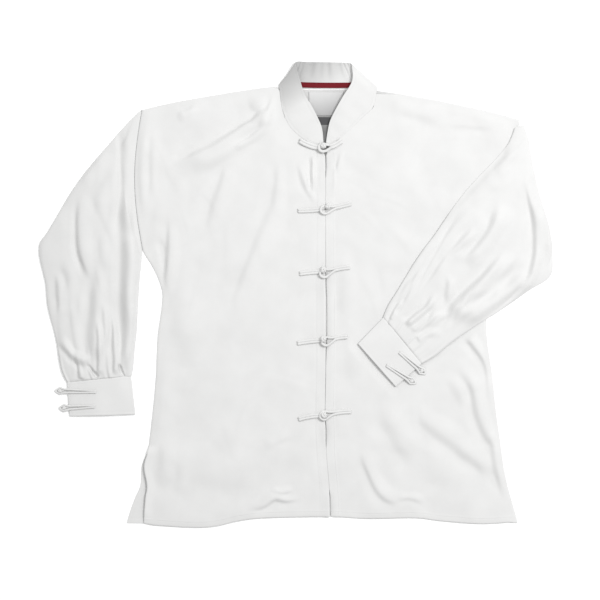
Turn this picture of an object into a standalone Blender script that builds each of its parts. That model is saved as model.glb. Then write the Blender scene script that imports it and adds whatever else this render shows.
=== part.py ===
# Tai chi jacket of thin white cotton, buttoned and laid out flat with its left sleeve folded over the front.
# X runs to the wearer's left, Y from hem to collar, Z up from the floor that the back panel rests on.
# Every table and size below is in millimetres. The meshes are made in metres.

import math
from bisect import bisect_right
from collections import namedtuple

import bmesh
import bpy
from mathutils import Vector
from mathutils.bvhtree import BVHTree
from mathutils.geometry import intersect_line_line_2d

MM = 0.001
COLLECTION = "tai_chi_jacket"
WHITE = (0.86, 0.86, 0.85)
CRIMSON = (0.36, 0.03, 0.045)
DARK = (0.05, 0.05, 0.055)

# Cloth and seams
CLOTH = 1.2               # wall of the body and sleeves
BAND = 1.8                # wall of the collar and cuffs: two layers and an interlining
TAPE = 1.0                # wall of the neck tape, label and tab
GAP = 0.3                 # between pieces that are sewn or lie on each other
SEAM = 0.5                # between two curved edges, so that their facets stay a GAP apart
EDGE = 3.0                # a sleeve's height at its folded edges: two walls and a hollow
CUFF_EDGE = 4.2           # the same for a cuff
NOSE = 1.5                # how far a folded edge rounds outwards
FRONT_LEVEL = CLOTH + GAP                  # underside of the fronts, on the back panel
SLEEVE_LEVEL = FRONT_LEVEL + CLOTH + GAP   # underside of the folded sleeve, on the left front

# The body at its measured levels, hem to underarm: its right side, its centre opening and its left side
Level = namedtuple("Level", "y right centre left")
BODY = (
    Level(-388, -258, 59, 377),
    Level(-345, -255, 58, 366),
    Level(-325, -252, 57, 360),
    Level(-291, -257, 54, 353),
    Level(-264, -250, 52, 349),
    Level(-194, -242, 50, 340),
    Level(-138, -237, 51, 334),
    Level(-70, -234, 52, 325),
    Level(-5, -226, 52, 325),
    Level(18, -230, 51, 331),
    Level(46, -242, 51, 343),
    Level(77, -260, 51, 360),
)
Spot = namedtuple("Spot", "x y")
HEM = (Spot(-258, -390), Spot(-178, -395), Spot(-135, -393), Spot(-96, -384), Spot(-50, -379), Spot(59, -377),
       Spot(121, -380), Spot(203, -379), Spot(246, -384), Spot(317, -389), Spot(377, -385))
HEM_AT_CENTRE = -377
# Each armhole runs from the underarm to the shoulder's end, bowed sideways between them
Armhole = namedtuple("Armhole", "top under bow")
ARMHOLES = {
    "right": Armhole(Spot(-261, 314), Spot(-260, 77), -13),
    "left": Armhole(Spot(381, 297), Spot(360, 77), 5),
}
SHOULDERS = {
    "right": (Spot(-261, 314), Spot(-195, 329), Spot(-54, 352), Spot(-27, 352)),
    "left": (Spot(381, 297), Spot(326, 312), Spot(203, 337), Spot(137, 347)),
}
BACK_NECK = (Spot(-27, 352), Spot(10, 349), Spot(98, 348.5), Spot(137, 347))
# Below the slit's top the back panel shows past the front's right side
Slit = namedtuple("Slit", "y shown")
SLIT = (Slit(-388, 29), Slit(-363, 23), Slit(-311, 8), Slit(-264, 0))
BACK_INSET = 1            # the back's left side keeps this far inside the front's
BACK_HEM_RISE = 1.5
OPENING = 1.1             # between the two fronts' centre edges
GAPE = 2.4                # more than that between the first two frogs
GAPE_FROM, GAPE_TO = 180, 236

# The collar band from its right front end round the back to its left front end: its seam and its top edge
Section = namedtuple("Section", "seam_x seam_y seam_z top_x top_y top_z")
COLLAR = (
    Section(44, 251, 2.6, 47.5, 258, 3.6),
    Section(25, 258, 2.6, 45, 282, 5.5),
    Section(6, 270, 2.6, 38, 300, 8),
    Section(-12, 289, 2.6, 28, 319, 10),
    Section(-23, 318, 2.6, 15, 341, 12),
    Section(-27, 346, 2.8, 7, 366, 13.5),
    Section(-27.5, 357, 3.2, 1, 389, 13),
    Section(-16, 354, 1.4, 2.5, 395.5, 8.5),
    Section(8, 351, 1.1, 20, 395, 7),
    Section(53, 350, 1.1, 53, 394.5, 8),
    Section(98, 350.5, 1.1, 80, 394, 7),
    Section(126, 353, 1.4, 92, 393, 8.5),
    Section(137.5, 354, 3.2, 95, 387, 13),
    Section(137, 341, 2.8, 95.5, 362, 13.5),
    Section(131, 318, 2.6, 80, 336, 12),
    Section(112, 300, 2.6, 67, 313, 10),
    Section(93, 281, 2.6, 58, 294, 8),
    Section(72, 264, 2.6, 54, 275, 5.5),
    Section(57, 252, 2.6, 51.5, 258, 3.6),
)
NECK_CORNER = {"right": 5, "left": 13}    # the rows of COLLAR where shoulder seam, front and back meet
NECK_END = {"right": 0, "left": len(COLLAR) - 1}
FOLD_ROWS = 2.5           # rows of COLLAR round each side fold, past the neck's corner

# Faces across and along each piece
NECK_STEPS = 8
SHOULDER_STEPS = 12
SIDE_STEPS = 18
ARMHOLE_STEPS = 10
BACK_STEPS = (6, 6, 6)    # right shoulder, back neck, left shoulder
COLLAR_FOLD_STEPS = 5
COLLAR_BACK_STEPS = 8
COLLAR_HEIGHT_STEPS = 4
RINGS_PER_ROW = 2
TOP_POINTS = 25           # of a sleeve's ring, over its upper layer
UNDER_POINTS = {"right": 8, "left": 11}
CUFF_RINGS = 5
CUFF_TOP_POINTS = 12
CUFF_UNDER_POINTS = 5
TAPE_STEPS = 8
CORD_SIDES = 10

# A soft fold: its ends, how far its middle bows to the left of its run, its half width and its height
Fold = namedtuple("Fold", "x0 y0 x1 y1 bow width height")
FRONT_FOLDS = {
    "right": (
        Fold(-50, 326, -196, 238, 12, 26, 8),
        Fold(-90, 306, -190, 270, 4, 20, 4),
        Fold(-106, 216, -150, 110, 4, 26, 4),
        Fold(-18, 166, -90, -50, -8, 28, 5),
        Fold(-210, 160, -212, 0, -6, 20, 6),
        Fold(-240, 296, -232, 100, 4, 18, 4),
        Fold(-84, -366, 18, -344, 6, 20, 5.5),
        Fold(8, 236, 34, 156, 4, 12, 3.5),
        Fold(-226, -70, -232, -250, 3, 20, 3.5),
        Fold(-130, 60, -140, -330, 0, 80, 3),
    ),
    "left": (
        Fold(104, -284, 182, -354, 16, 20, 6),
        Fold(150, -176, 228, -286, 10, 22, 5.5),
        Fold(214, -196, 338, -324, -8, 24, 6.5),
        Fold(300, -110, 350, -304, -12, 22, 8.5),
        Fold(306, -80, 322, -150, 2, 16, 4),
        Fold(158, 326, 262, 304, -4, 20, 3.5),
        Fold(84, 246, 76, 190, -2, 14, 3),
        Fold(88, 66, 84, -50, 3, 26, 3),
        Fold(196, 284, 130, 116, 6, 30, 3.5),
    ),
}
SLEEVE_FOLDS = {
    "right": (
        Fold(-386, 182, -348, 20, -14, 20, 7),
        Fold(-300, 292, -276, 116, 5, 17, 7),
        Fold(-284, 132, -290, -112, -6, 16, 8),
        Fold(-338, 70, -352, -106, 3, 17, 7),
        Fold(-318, 14, -318, -84, 0, 14, 6),
        Fold(-404, 64, -396, -70, 8, 17, 5),
        Fold(-402, -74, -352, -122, -6, 13, 6),
        Fold(-330, 120, -322, 40, 0, 16, 4),
    ),
    "left": (
        Fold(352, 162, 300, 74, -5, 18, 7),
        Fold(364, 88, 242, -36, 6, 19, 8),
        Fold(392, 190, 404, 76, 8, 20, 7),
        Fold(412, 52, 326, -24, -6, 16, 6),
        Fold(306, 116, 258, 70, -3, 15, 5),
        Fold(264, 132, 198, 28, 3, 13, 5),
        Fold(258, 32, 252, -4, 0, 13, 5),
        Fold(228, -18, 184, -52, 0, 11, 5),
    ),
}
FOLD_FADE = 4             # a fold rises over a quarter of its run at each end

# A sleeve's sections: its shoulder side, its underarm side, the bow between them and how far it puffs up
Ring = namedtuple("Ring", "outer_x outer_y inner_x inner_y bow puff")
SLEEVES = {
    "right": (
        Ring(-261.5, 315, -260.5, 76, 13, 0),
        Ring(-286, 291, -261, 66, 12, 2),
        Ring(-315, 258, -262, 52, 8, 6),
        Ring(-370, 191, -265, 22, 4, 9),
        Ring(-418, 112, -267, -10, 0, 10),
        Ring(-436, 79, -268, -32, 0, 9),
        Ring(-425, 20, -270, -66, 0, 8),
        Ring(-421, -20, -273, -92, 0, 8),
        Ring(-408, -72, -275, -117, 0, 8),
        Ring(-399, -124, -277, -132, 0, 6),
        Ring(-388, -150, -279, -138.5, 0, 4),
    ),
    "left": (
        Ring(387, 288, 372, 284, 0, 2),
        Ring(396, 262, 361, 257, 0, 4),
        Ring(402, 226, 338, 229, 0, 6),
        Ring(414, 173, 297, 186, 0, 8),
        Ring(431, 114, 270, 152, 0, 9),
        Ring(437, 66, 248, 120, 0, 9),
        Ring(432, 31, 233, 98, 0, 9),
        Ring(396, 7, 219, 80, 0, 8),
        Ring(349, -26, 201, 54, 0, 8),
        Ring(306, -52, 186, 29, 0, 7),
        Ring(262, -83, 172, 6, 0, 6),
        Ring(238, -103, 157, -18, 0, 5),
        Ring(213, -118, 148, -39, 0, 4),
    ),
}
CROWN = 0.7               # power that squares off a puffed section
GATHERS = 7               # across the upper layer at the cuff
GATHER_HEIGHT = 2.2
GATHER_RUN = 0.26         # the share of the sleeve's length that they fade over
CREST = 12                # the folded sleeve stays up this far past the body's edge
SLOPE = 18                # and comes down to the floor over this run

# A cuff from the end of its sleeve to its wrist corners, and how far it puffs up
Cuff = namedtuple("Cuff", "wrist_outer wrist_inner level puff")
CUFFS = {
    "right": Cuff(Spot(-384, -206), Spot(-272, -203), 0, 3),
    "left": Cuff(Spot(170, -156), Spot(105.5, -83), SLEEVE_LEVEL, 3),
}

# The neck tape by rows of COLLAR and shares of the band's height, and the flat pieces on the back's inside
Strip = namedtuple("Strip", "first_row last_row low high")
NECK_TAPE = Strip(7.35, 10.65, 0.03, 0.22)
Patch = namedtuple("Patch", "x0 x1 y0 y1")
LABEL = Patch(22, 82, 304, 345)
TAB = Patch(38, 62, 289, 302)

# Front frogs: the knot, the far end of each arm and how far the arms sag
Frog = namedtuple("Frog", "knot right_end left_end sag")
FROGS = (
    Frog(Spot(48, 249), Spot(7, 262), Spot(78, 262), -3),
    Frog(Spot(51, 146), Spot(4, 143), Spot(94, 155), -1),
    Frog(Spot(50, 39), Spot(7, 36), Spot(92, 47), 1),
    Frog(Spot(52, -77), Spot(3, -82), Spot(88, -71), 1),
    Frog(Spot(50, -205), Spot(5, -211), Spot(94, -198), 2),
)
CORD = 1.9                # radius of the doubled cord
LANES = 2.2               # from an arm's middle to each of its two cords
BALL = 4.6                # radius of a front frog's knot
CUFF_BALL = 4.0
EYE = 0.8                 # clear space between a ball and the loop round it
EYE_CLIMB = 4.6           # the loop rises this far over the knot's stem
# Sections of a knot half. Those of its arm go by the distance from its far end, and those of its
# stem and ball by the distance from the knot. Then come the middle's height and the half sizes.
Slice = namedtuple("Slice", "away rise across up pinch")
ARM = (
    Slice(0, 1.9, 3.0, 1.3, 0.0),
    Slice(1.2, 1.9, 4.1, 1.9, 0.45),
    Slice(14, 1.9, 4.1, 1.9, 0.45),
    Slice(26, 1.9, 4.1, 1.9, 0.45),
)
KNOT = (
    Slice(13, 1.9, 3.6, 1.8, 0.4),
    Slice(8, 1.7, 2.1, 1.5, 0.0),
    Slice(4.6, 3.0, 2.0, 1.6, 0.0),
    Slice(3.6, 5.0, 3.2, 2.8, 0.0),
    Slice(1.6, 5.6, 4.5, 4.2, 0.0),
    Slice(-0.6, 5.6, 4.6, 4.3, 0.0),
    Slice(-2.8, 5.6, 3.7, 3.4, 0.0),
    Slice(-4.3, 5.6, 1.8, 1.7, 0.0),
)
CUFF_KNOT = (
    Slice(5.2, 2.3, 1.5, 1.5, 0.0),
    Slice(3.6, 3.6, 2.4, 2.2, 0.0),
    Slice(1.6, 4.4, 3.9, 3.7, 0.0),
    Slice(-0.6, 4.4, 4.0, 3.9, 0.0),
    Slice(-2.6, 4.4, 3.1, 3.0, 0.0),
    Slice(-3.8, 4.4, 1.4, 1.4, 0.0),
)
# Cuff frogs: where the arm ends on the cuff, and where its knot lies past the cuff's edge
CuffFrog = namedtuple("CuffFrog", "end knot")
CUFF_FROGS = {
    "right": (
        CuffFrog(Spot(-340, -165), Spot(-401.5, -164)),
        CuffFrog(Spot(-340, -189), Spot(-394.5, -191)),
    ),
    "left": (
        CuffFrog(Spot(154, -119), Spot(197, -146)),
        CuffFrog(Spot(176, -97), Spot(214, -129)),
    ),
}


def smooth(t):
    """Ease from 0 to 1."""
    t = min(max(t, 0.0), 1.0)
    return t * t * (3 - 2 * t)


def spline(rows, t):
    """Catmull-Rom curve through table rows, with t counting rows."""
    i = min(max(int(t), 0), len(rows) - 2)
    f = t - i
    before, start, end, after = rows[max(i - 1, 0)], rows[i], rows[i + 1], rows[min(i + 2, len(rows) - 1)]
    return [
        0.5 * (2 * b + (c - a) * f + (2 * a - 5 * b + 4 * c - d) * f * f + (3 * b - a - 3 * c + d) * f ** 3)
        for a, b, c, d in zip(before, start, end, after)
    ]


def evenly(rows, steps, dense=12):
    """Points equally far apart along the curve through the rows."""
    fine = [spline(rows, k / dense) for k in range((len(rows) - 1) * dense + 1)]
    lengths = [0.0]
    for a, b in zip(fine, fine[1:]):
        lengths.append(lengths[-1] + math.dist(a, b))
    points = []
    for k in range(steps + 1):
        want = lengths[-1] * k / steps
        i = min(max(bisect_right(lengths, want), 1), len(fine) - 1)
        f = (want - lengths[i - 1]) / (lengths[i] - lengths[i - 1])
        points.append(tuple(a + (b - a) * f for a, b in zip(fine[i - 1], fine[i])))
    return points


def read(rows, key, at, value):
    """A table column read at a value of another, with straight runs between rows."""
    keys = [getattr(row, key) for row in rows]
    i = min(max(bisect_right(keys, at), 1), len(rows) - 1)
    f = min(max((at - keys[i - 1]) / (keys[i] - keys[i - 1]), 0), 1)
    low, high = getattr(rows[i - 1], value), getattr(rows[i], value)
    return low + (high - low) * f


def fold_lift(folds, x, y):
    """How far the folds raise the cloth at a point: a bell across each, fading at both ends."""
    lift = 0.0
    for fold in folds:
        run = Vector((fold.x1 - fold.x0, fold.y1 - fold.y0))
        offset = Vector((x - fold.x0, y - fold.y0))
        along = offset.dot(run) / run.length_squared
        if not 0 < along < 1:
            continue
        across = run.cross(offset) / run.length - fold.bow * 4 * along * (1 - along)
        if abs(across) < fold.width:
            bell = 0.5 + 0.5 * math.cos(math.pi * across / fold.width)
            lift += fold.height * bell * smooth(along * FOLD_FADE) * smooth((1 - along) * FOLD_FADE)
    return lift


def armhole_point(side, t):
    hole = ARMHOLES[side]
    x = hole.under.x + (hole.top.x - hole.under.x) * t + hole.bow * math.sin(math.pi * t)
    return x, hole.under.y + (hole.top.y - hole.under.y) * t


def outer_edge(side):
    """A panel's side and armhole, from hem to shoulder."""
    heights = [row.y for row in BODY]
    points = []
    for k in range(SIDE_STEPS):
        y = heights[0] + (heights[-1] - heights[0]) * k / SIDE_STEPS
        i = bisect_right(heights, y) - 1
        level = Level(*spline(BODY, i + (y - heights[i]) / (heights[i + 1] - heights[i])))
        points.append((getattr(level, side), y))
    return points + [armhole_point(side, k / ARMHOLE_STEPS) for k in range(ARMHOLE_STEPS + 1)]


def neck_edge(side):
    """A front panel's neck from the shoulder to the centre, just outside the collar's seam."""
    corner, end = NECK_CORNER[side], NECK_END[side]
    points = []
    for k in range(NECK_STEPS + 1):
        row = Section(*spline(COLLAR, corner + (end - corner) * k / NECK_STEPS))
        away = Vector((row.seam_x - row.top_x, row.seam_y - row.top_y)).normalized() * SEAM
        points.append((row.seam_x + away.x, row.seam_y + away.y))
    return points


def opening_edge(side, top):
    """A front panel's centre edge from the hem up, parted a little between the first two frogs."""
    sign = {"right": -1, "left": 1}[side]
    steps = SIDE_STEPS + ARMHOLE_STEPS
    points = []
    for k in range(steps):
        y = HEM_AT_CENTRE + (top[1] - HEM_AT_CENTRE) * k / steps
        gape = GAPE * math.sin(math.pi * min(max((y - GAPE_FROM) / (GAPE_TO - GAPE_FROM), 0), 1))
        points.append((read(BODY, "y", y, "centre") + sign * (OPENING + gape) / 2, y))
    return points + [top]


def shares(edge):
    """How far along an edge each of its points lies, from 0 to 1."""
    lengths = [0.0]
    for a, b in zip(edge, edge[1:]):
        lengths.append(lengths[-1] + math.dist(a, b))
    return [length / lengths[-1] for length in lengths]


def fill(bottom, top, first, last):
    """Rows of points between four edges, blended from them."""
    u_low, u_high, v_first, v_last = shares(bottom), shares(top), shares(first), shares(last)
    rows = []
    for j in range(len(first)):
        row = []
        for i in range(len(bottom)):
            u = u_low[i] + (u_high[i] - u_low[i]) * j / (len(first) - 1)
            v = v_first[j] + (v_last[j] - v_first[j]) * i / (len(bottom) - 1)
            point = []
            for c in (0, 1):
                sides = (1 - u) * first[j][c] + u * last[j][c]
                ends = (1 - v) * bottom[i][c] + v * top[i][c]
                corners = (1 - v) * ((1 - u) * bottom[0][c] + u * bottom[-1][c])
                corners += v * ((1 - u) * top[0][c] + u * top[-1][c])
                point.append(sides + ends - corners)
            row.append(tuple(point))
        rows.append(row)
    return rows


def material(name, colour):
    made = bpy.data.materials.new(name)
    made.use_nodes = True
    shader = made.node_tree.nodes["Principled BSDF"]
    shader.inputs["Base Color"].default_value = (*colour, 1)
    shader.inputs["Roughness"].default_value = 0.85
    shader.inputs["Metallic"].default_value = 0.0
    return made


def place(name, data, colour):
    """Put a piece's mesh or curve in the jacket's collection, with a material of its own."""
    data.materials.append(material(name + "_finish", colour))
    piece = bpy.data.objects.new(name, data)
    bpy.data.collections[COLLECTION].objects.link(piece)
    return piece


def shade(mesh):
    mesh.shade_smooth()
    mesh.set_sharp_from_angle(angle=math.radians(50))


def sheet(name, grid, wall, colour=WHITE, centred=False):
    """A wall of cloth on a grid of points: upwards from them, or to both sides."""
    rows, columns = len(grid) - 1, len(grid[0]) - 1
    bm = bmesh.new()
    bmesh.ops.create_grid(bm, x_segments=columns, y_segments=rows, size=1)
    for vert in bm.verts:
        i = round((vert.co.x + 1) / 2 * columns)
        j = round((vert.co.y + 1) / 2 * rows)
        vert.co = Vector(grid[j][i]) * MM
    mesh = bpy.data.meshes.new(name)
    bm.to_mesh(mesh)
    bm.free()
    piece = place(name, mesh, colour)
    solidify = piece.modifiers.new("wall", "SOLIDIFY")
    solidify.thickness = wall * MM
    solidify.offset = 0 if centred else 1
    solidify.use_even_offset = True
    walled = bpy.data.meshes.new_from_object(piece.evaluated_get(bpy.context.evaluated_depsgraph_get()))
    piece.modifiers.remove(solidify)
    piece.data = walled
    bpy.data.meshes.remove(mesh)
    walled.name = name
    shade(walled)
    return piece


def loft(name, loops, ring=False):
    """Skin a row of closed loops. In a ring the last loop joins the first, as a tube's wall does."""
    bm = bmesh.new()
    rows = [[bm.verts.new(Vector(point) * MM) for point in loop] for loop in loops]
    pairs = list(zip(rows, rows[1:]))
    if ring:
        pairs.append((rows[-1], rows[0]))
    for low, high in pairs:
        for k in range(len(low)):
            after = (k + 1) % len(low)
            bm.faces.new((low[k], low[after], high[after], high[k]))
    if not ring:
        bm.faces.new(rows[0])
        bm.faces.new(rows[-1])
    bmesh.ops.recalc_face_normals(bm, faces=bm.faces)
    mesh = bpy.data.meshes.new(name)
    bm.to_mesh(mesh)
    bm.free()
    shade(mesh)
    return place(name, mesh, WHITE)


def cord(name, points):
    """A round cloth cord through the points."""
    curve = bpy.data.curves.new(name, "CURVE")
    curve.dimensions = "3D"
    curve.bevel_depth = CORD * MM
    curve.bevel_resolution = 2
    curve.use_fill_caps = True
    line = curve.splines.new("POLY")
    line.points.add(len(points) - 1)
    for target, point in zip(line.points, points):
        target.co = (*(Vector(point) * MM), 1)
    return place(name, curve, WHITE)


def tube_loops(ends, bow, base, height, edge, wall, counts):
    """Outer and inner loop of a flattened tube's section: over its top, then back along its underside."""
    a, b = Vector(ends[0]), Vector(ends[1])
    width = (b - a).length
    sideways = Vector((b.y - a.y, a.x - b.x)) / width

    def point(share, rise):
        x, y = a.lerp(b, share) + sideways * bow * math.sin(math.pi * share)
        return x, y, base(x, y) + rise(share, x, y)

    def loop(margin, nose, thick):
        over = [margin + (1 - 2 * margin) * k / (counts[0] - 1) for k in range(counts[0])]
        under = [margin + (1 - 2 * margin) * (1 - k / (counts[1] - 1)) for k in range(counts[1])]
        points = [point(share, lambda *at: height(*at) - thick) for share in over]
        points.append(point(1 - margin + nose, lambda *at: edge / 2))
        points += [point(share, lambda *at: thick) for share in under]
        points.append(point(margin - nose, lambda *at: edge / 2))
        return points

    outside = loop(NOSE / width, NOSE / width, 0)
    inside = loop((NOSE + wall) / width, GAP / width, wall)
    return outside, inside


def tube(name, sections):
    """The wall of an open tube from the outer and inner loops of its sections."""
    outside = [section[0] for section in sections]
    inside = [section[1] for section in sections]
    return loft(name, outside + inside[::-1], ring=True)


def make_back():
    first = [(x - read(SLIT, "y", y, "shown"), y) for x, y in outer_edge("right")]
    last = [(x - BACK_INSET, y) if y < BODY[-1].y else (x, y) for x, y in outer_edge("left")]
    top = evenly(SHOULDERS["right"], BACK_STEPS[0])
    top += evenly(BACK_NECK, BACK_STEPS[1])[1:]
    top += evenly(SHOULDERS["left"][::-1], BACK_STEPS[2])[1:]
    columns = sum(BACK_STEPS)
    hem = []
    for k in range(columns + 1):
        x = first[0][0] + (last[0][0] - first[0][0]) * k / columns
        hem.append((x, read(HEM, "x", x, "y") + BACK_HEM_RISE))
    hem[0], hem[-1] = first[0], last[0]
    return sheet("back", [[(x, y, 0) for x, y in row] for row in fill(hem, top, first, last)], CLOTH)


def make_front(side):
    outer, neck = outer_edge(side), neck_edge(side)
    top = evenly([Spot(*p) for p in SHOULDERS[side][:-1]] + [Spot(*neck[0])], SHOULDER_STEPS) + neck[1:]
    opening = opening_edge(side, neck[-1])
    corner = COLLAR[NECK_CORNER[side]].seam_x
    hem_x = [outer[0][0] + (corner - outer[0][0]) * k / SHOULDER_STEPS for k in range(SHOULDER_STEPS)]
    hem_x += [corner + (opening[0][0] - corner) * k / NECK_STEPS for k in range(NECK_STEPS + 1)]
    hem = [(x, read(HEM, "x", x, "y")) for x in hem_x]
    hem[0], hem[-1] = outer[0], opening[0]
    folds = FRONT_FOLDS[side]
    rows = fill(hem, top, outer, opening)
    grid = [[(x, y, FRONT_LEVEL + fold_lift(folds, x, y)) for x, y in row] for row in rows]
    if side == "left":
        grid = [row[::-1] for row in grid]
    return sheet("front_" + side, grid, CLOTH)


def body_edge(y):
    """X of the body's left side or armhole at a height."""
    hole = ARMHOLES["left"]
    if y > hole.under.y:
        return armhole_point("left", min((y - hole.under.y) / (hole.top.y - hole.under.y), 1))[0]
    return read(BODY, "y", y, "left")


def on_floor(x, y):
    return 0.0


def on_left_front(x, y):
    """The folded sleeve's underside: on the left front, with a slope down to the floor past its edge."""
    return SLEEVE_LEVEL * (1 - smooth((x - body_edge(y) - CREST) / SLOPE))


def make_sleeve(side):
    rows, folds = SLEEVES[side], SLEEVE_FOLDS[side]
    base = on_floor if side == "right" else on_left_front
    count = (len(rows) - 1) * RINGS_PER_ROW
    sections = []
    for k in range(count + 1):
        ring = Ring(*spline(rows, k / RINGS_PER_ROW))
        gathered = GATHER_HEIGHT * smooth(1 - (1 - k / count) / GATHER_RUN)

        def height(share, x, y):
            crown = math.sin(math.pi * share) ** CROWN
            gather = gathered * (0.5 - 0.5 * math.cos(2 * math.pi * GATHERS * share))
            relief = gather + fold_lift(folds, x, y) * min(ring.puff / 4, 1)
            return EDGE + ring.puff * crown + relief * min(crown * 1.6, 1)

        ends = ((ring.outer_x, ring.outer_y), (ring.inner_x, ring.inner_y))
        counts = (TOP_POINTS, UNDER_POINTS[side])
        sections.append(tube_loops(ends, ring.bow, base, height, EDGE, CLOTH, counts))
    return tube("sleeve_" + side, sections)


def cuff_edges(side):
    """The cuff's outer and inner edge, each from the sleeve's end to the wrist."""
    cuff, last = CUFFS[side], SLEEVES[side][-1]
    starts = (Vector((last.outer_x, last.outer_y)), Vector((last.inner_x, last.inner_y)))
    ends = (Vector(cuff.wrist_outer), Vector(cuff.wrist_inner))
    return [(start + (end - start).normalized() * SEAM, end) for start, end in zip(starts, ends)]


def make_cuff(side):
    cuff = CUFFS[side]
    sections = []
    for k in range(CUFF_RINGS):
        corners = [start.lerp(end, k / (CUFF_RINGS - 1)) for start, end in cuff_edges(side)]
        sections.append(tube_loops(
            corners, 0, lambda x, y: cuff.level,
            lambda share, x, y: CUFF_EDGE + cuff.puff * math.sin(math.pi * share) ** CROWN,
            CUFF_EDGE, BAND, (CUFF_TOP_POINTS, CUFF_UNDER_POINTS)))
    return tube("cuff_" + side, sections)


def collar_point(row, share):
    """A point of the collar's middle surface, with share running from its seam to its top edge."""
    section = Section(*spline(COLLAR, row))
    seam = Vector((section.seam_x, section.seam_y, section.seam_z))
    return seam.lerp(Vector((section.top_x, section.top_y, section.top_z)), share)


def make_collar():
    right, left = NECK_CORNER["right"], NECK_CORNER["left"]
    stops = (
        (NECK_END["right"], right, NECK_STEPS),
        (right, right + FOLD_ROWS, COLLAR_FOLD_STEPS),
        (right + FOLD_ROWS, left - FOLD_ROWS, COLLAR_BACK_STEPS),
        (left - FOLD_ROWS, left, COLLAR_FOLD_STEPS),
        (left, NECK_END["left"], NECK_STEPS),
    )
    stations = [start + (end - start) * k / steps for start, end, steps in stops for k in range(steps)]
    stations.append(NECK_END["left"])
    heights = [k / COLLAR_HEIGHT_STEPS for k in range(COLLAR_HEIGHT_STEPS + 1)]
    grid = [[collar_point(row, share) for row in stations] for share in heights]
    return sheet("collar", grid, BAND, centred=True)


def make_neck_tape():
    """A strip on the collar's inner face, made from the collar's own points moved out."""
    strip, small = NECK_TAPE, 0.05
    grid = []
    for share in (strip.low, (strip.low + strip.high) / 2, strip.high):
        row = []
        for k in range(TAPE_STEPS + 1):
            at = strip.first_row + (strip.last_row - strip.first_row) * k / TAPE_STEPS
            point = collar_point(at, share)
            along = collar_point(at + small, share) - collar_point(at - small, share)
            up = along.cross(collar_point(at, share + small) - point).normalized()
            row.append(point + up * (BAND / 2 + GAP))
        grid.append(row)
    return sheet("neck_tape", grid, TAPE, CRIMSON)


def make_flat(name, box, colour):
    """A small rectangle that lies on the back panel's inside."""
    ys, xs = (box.y0, (box.y0 + box.y1) / 2, box.y1), (box.x0, (box.x0 + box.x1) / 2, box.x1)
    return sheet(name, [[(x, y, CLOTH + GAP) for x in xs] for y in ys], TAPE, colour)


class Ground:
    """The highest cloth under a point, read from finished pieces."""

    def __init__(self, pieces):
        graph = bpy.context.evaluated_depsgraph_get()
        self.trees = [BVHTree.FromObject(piece, graph) for piece in pieces]

    def at(self, x, y):
        hits = [tree.ray_cast(Vector((x * MM, y * MM, 1)), Vector((0, 0, -1)))[0] for tree in self.trees]
        return max([hit.z / MM for hit in hits if hit], default=0.0)

    def around(self, x, y, reach):
        """The highest cloth within reach, so that a cord of that radius clears it."""
        turns = [2 * math.pi * k / 8 for k in range(8)]
        edge = [self.at(x + reach * math.cos(a), y + reach * math.sin(a)) for a in turns]
        return max(edge + [self.at(x, y)])


def arm(knot, end, sag):
    """The plan point at a distance from the knot along an arm and across it, and the arm's length."""
    knot, end = Vector(knot), Vector(end)
    length = (end - knot).length
    run = (end - knot) / length
    side = Vector((-run.y, run.x))

    def point(away, across=0.0):
        t = min(max(away / length, 0), 1)
        x, y = knot + run * away + side * across
        return x, y + sag * 4 * t * (1 - t)

    return point, length


def slice_loop(point, away, base, part):
    """One section of a doubled cord, waisted between its two lanes, or of a stem or ball."""
    loop = []
    for step in range(CORD_SIDES):
        angle = 2 * math.pi * step / CORD_SIDES
        waist = 1 - part.pinch * abs(math.sin(angle)) ** 3
        x, y = point(away, part.across * math.cos(angle))
        loop.append((x, y, base + part.rise + part.up * waist * math.sin(angle)))
    return loop


def hairpin(length, ball, climb):
    """A doubled cord in its arm's own frame: in along one lane, round the ball and back out."""
    radius = ball + EYE + CORD
    lane = [(length, LANES, 0), (length * 0.66, LANES, 0), (length * 0.38, LANES, 0), (radius + 4.5, 3.0, 0)]
    eye = []
    for degrees in range(50, 311, 26):
        angle = math.radians(degrees)
        lift = climb * smooth((0.2 - math.cos(angle)) / 1.1)
        eye.append((radius * math.cos(angle), radius * math.sin(angle), lift))
    return lane + eye + [(away, -across, lift) for away, across, lift in reversed(lane)]


def make_front_frog(number, frog, ground):
    """A knot half on the right front and a loop half on the left."""
    reach = BALL + EYE + 2 * CORD
    seat = ground.around(*frog.knot, reach) + GAP
    point, length = arm(frog.knot, frog.right_end, frog.sag)
    loops = []
    for part in ARM:
        away = length - part.away
        loops.append(slice_loop(point, away, ground.around(*point(away), 2 * CORD + 1) + GAP, part))
    loops += [slice_loop(point, part.away, seat, part) for part in KNOT]
    loft(f"frog_{number}_knot", loops)

    point, length = arm(frog.knot, frog.left_end, frog.sag)
    points = []
    for away, across, lift in hairpin(length, BALL, EYE_CLIMB):
        x, y = point(away, across)
        here = ground.around(x, y, 1.5 * CORD) + GAP if away > reach + CORD else seat
        points.append((x, y, here + CORD + lift))
    cord(f"frog_{number}_loop", points)


def make_cuff_frog(side, number, frog, ground):
    """A loop half on a cuff's face, and the knot that it holds just past the cuff's edge."""
    point, length = arm(frog.knot, frog.end, 0)
    level = CUFFS[side].level
    points = []
    for away, across, _ in hairpin(length, CUFF_BALL, 0):
        x, y = point(away, across)
        on_cuff = ground.around(x, y, 3.5 * CORD) + GAP + CORD
        points.append((x, y, max(on_cuff, level + CUFF_EDGE)))
    cord(f"cuff_{side}_loop_{number}", points)

    crossing = intersect_line_line_2d(frog.knot, frog.end, *cuff_edges(side)[0])
    stem = Slice(math.dist(frog.knot, crossing) - NOSE - SEAM, CUFF_EDGE / 2, 1.5, 1.5, 0.0)
    loops = [slice_loop(point, part.away, level, part) for part in (stem, *CUFF_KNOT)]
    loft(f"cuff_{side}_knot_{number}", loops)


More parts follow.
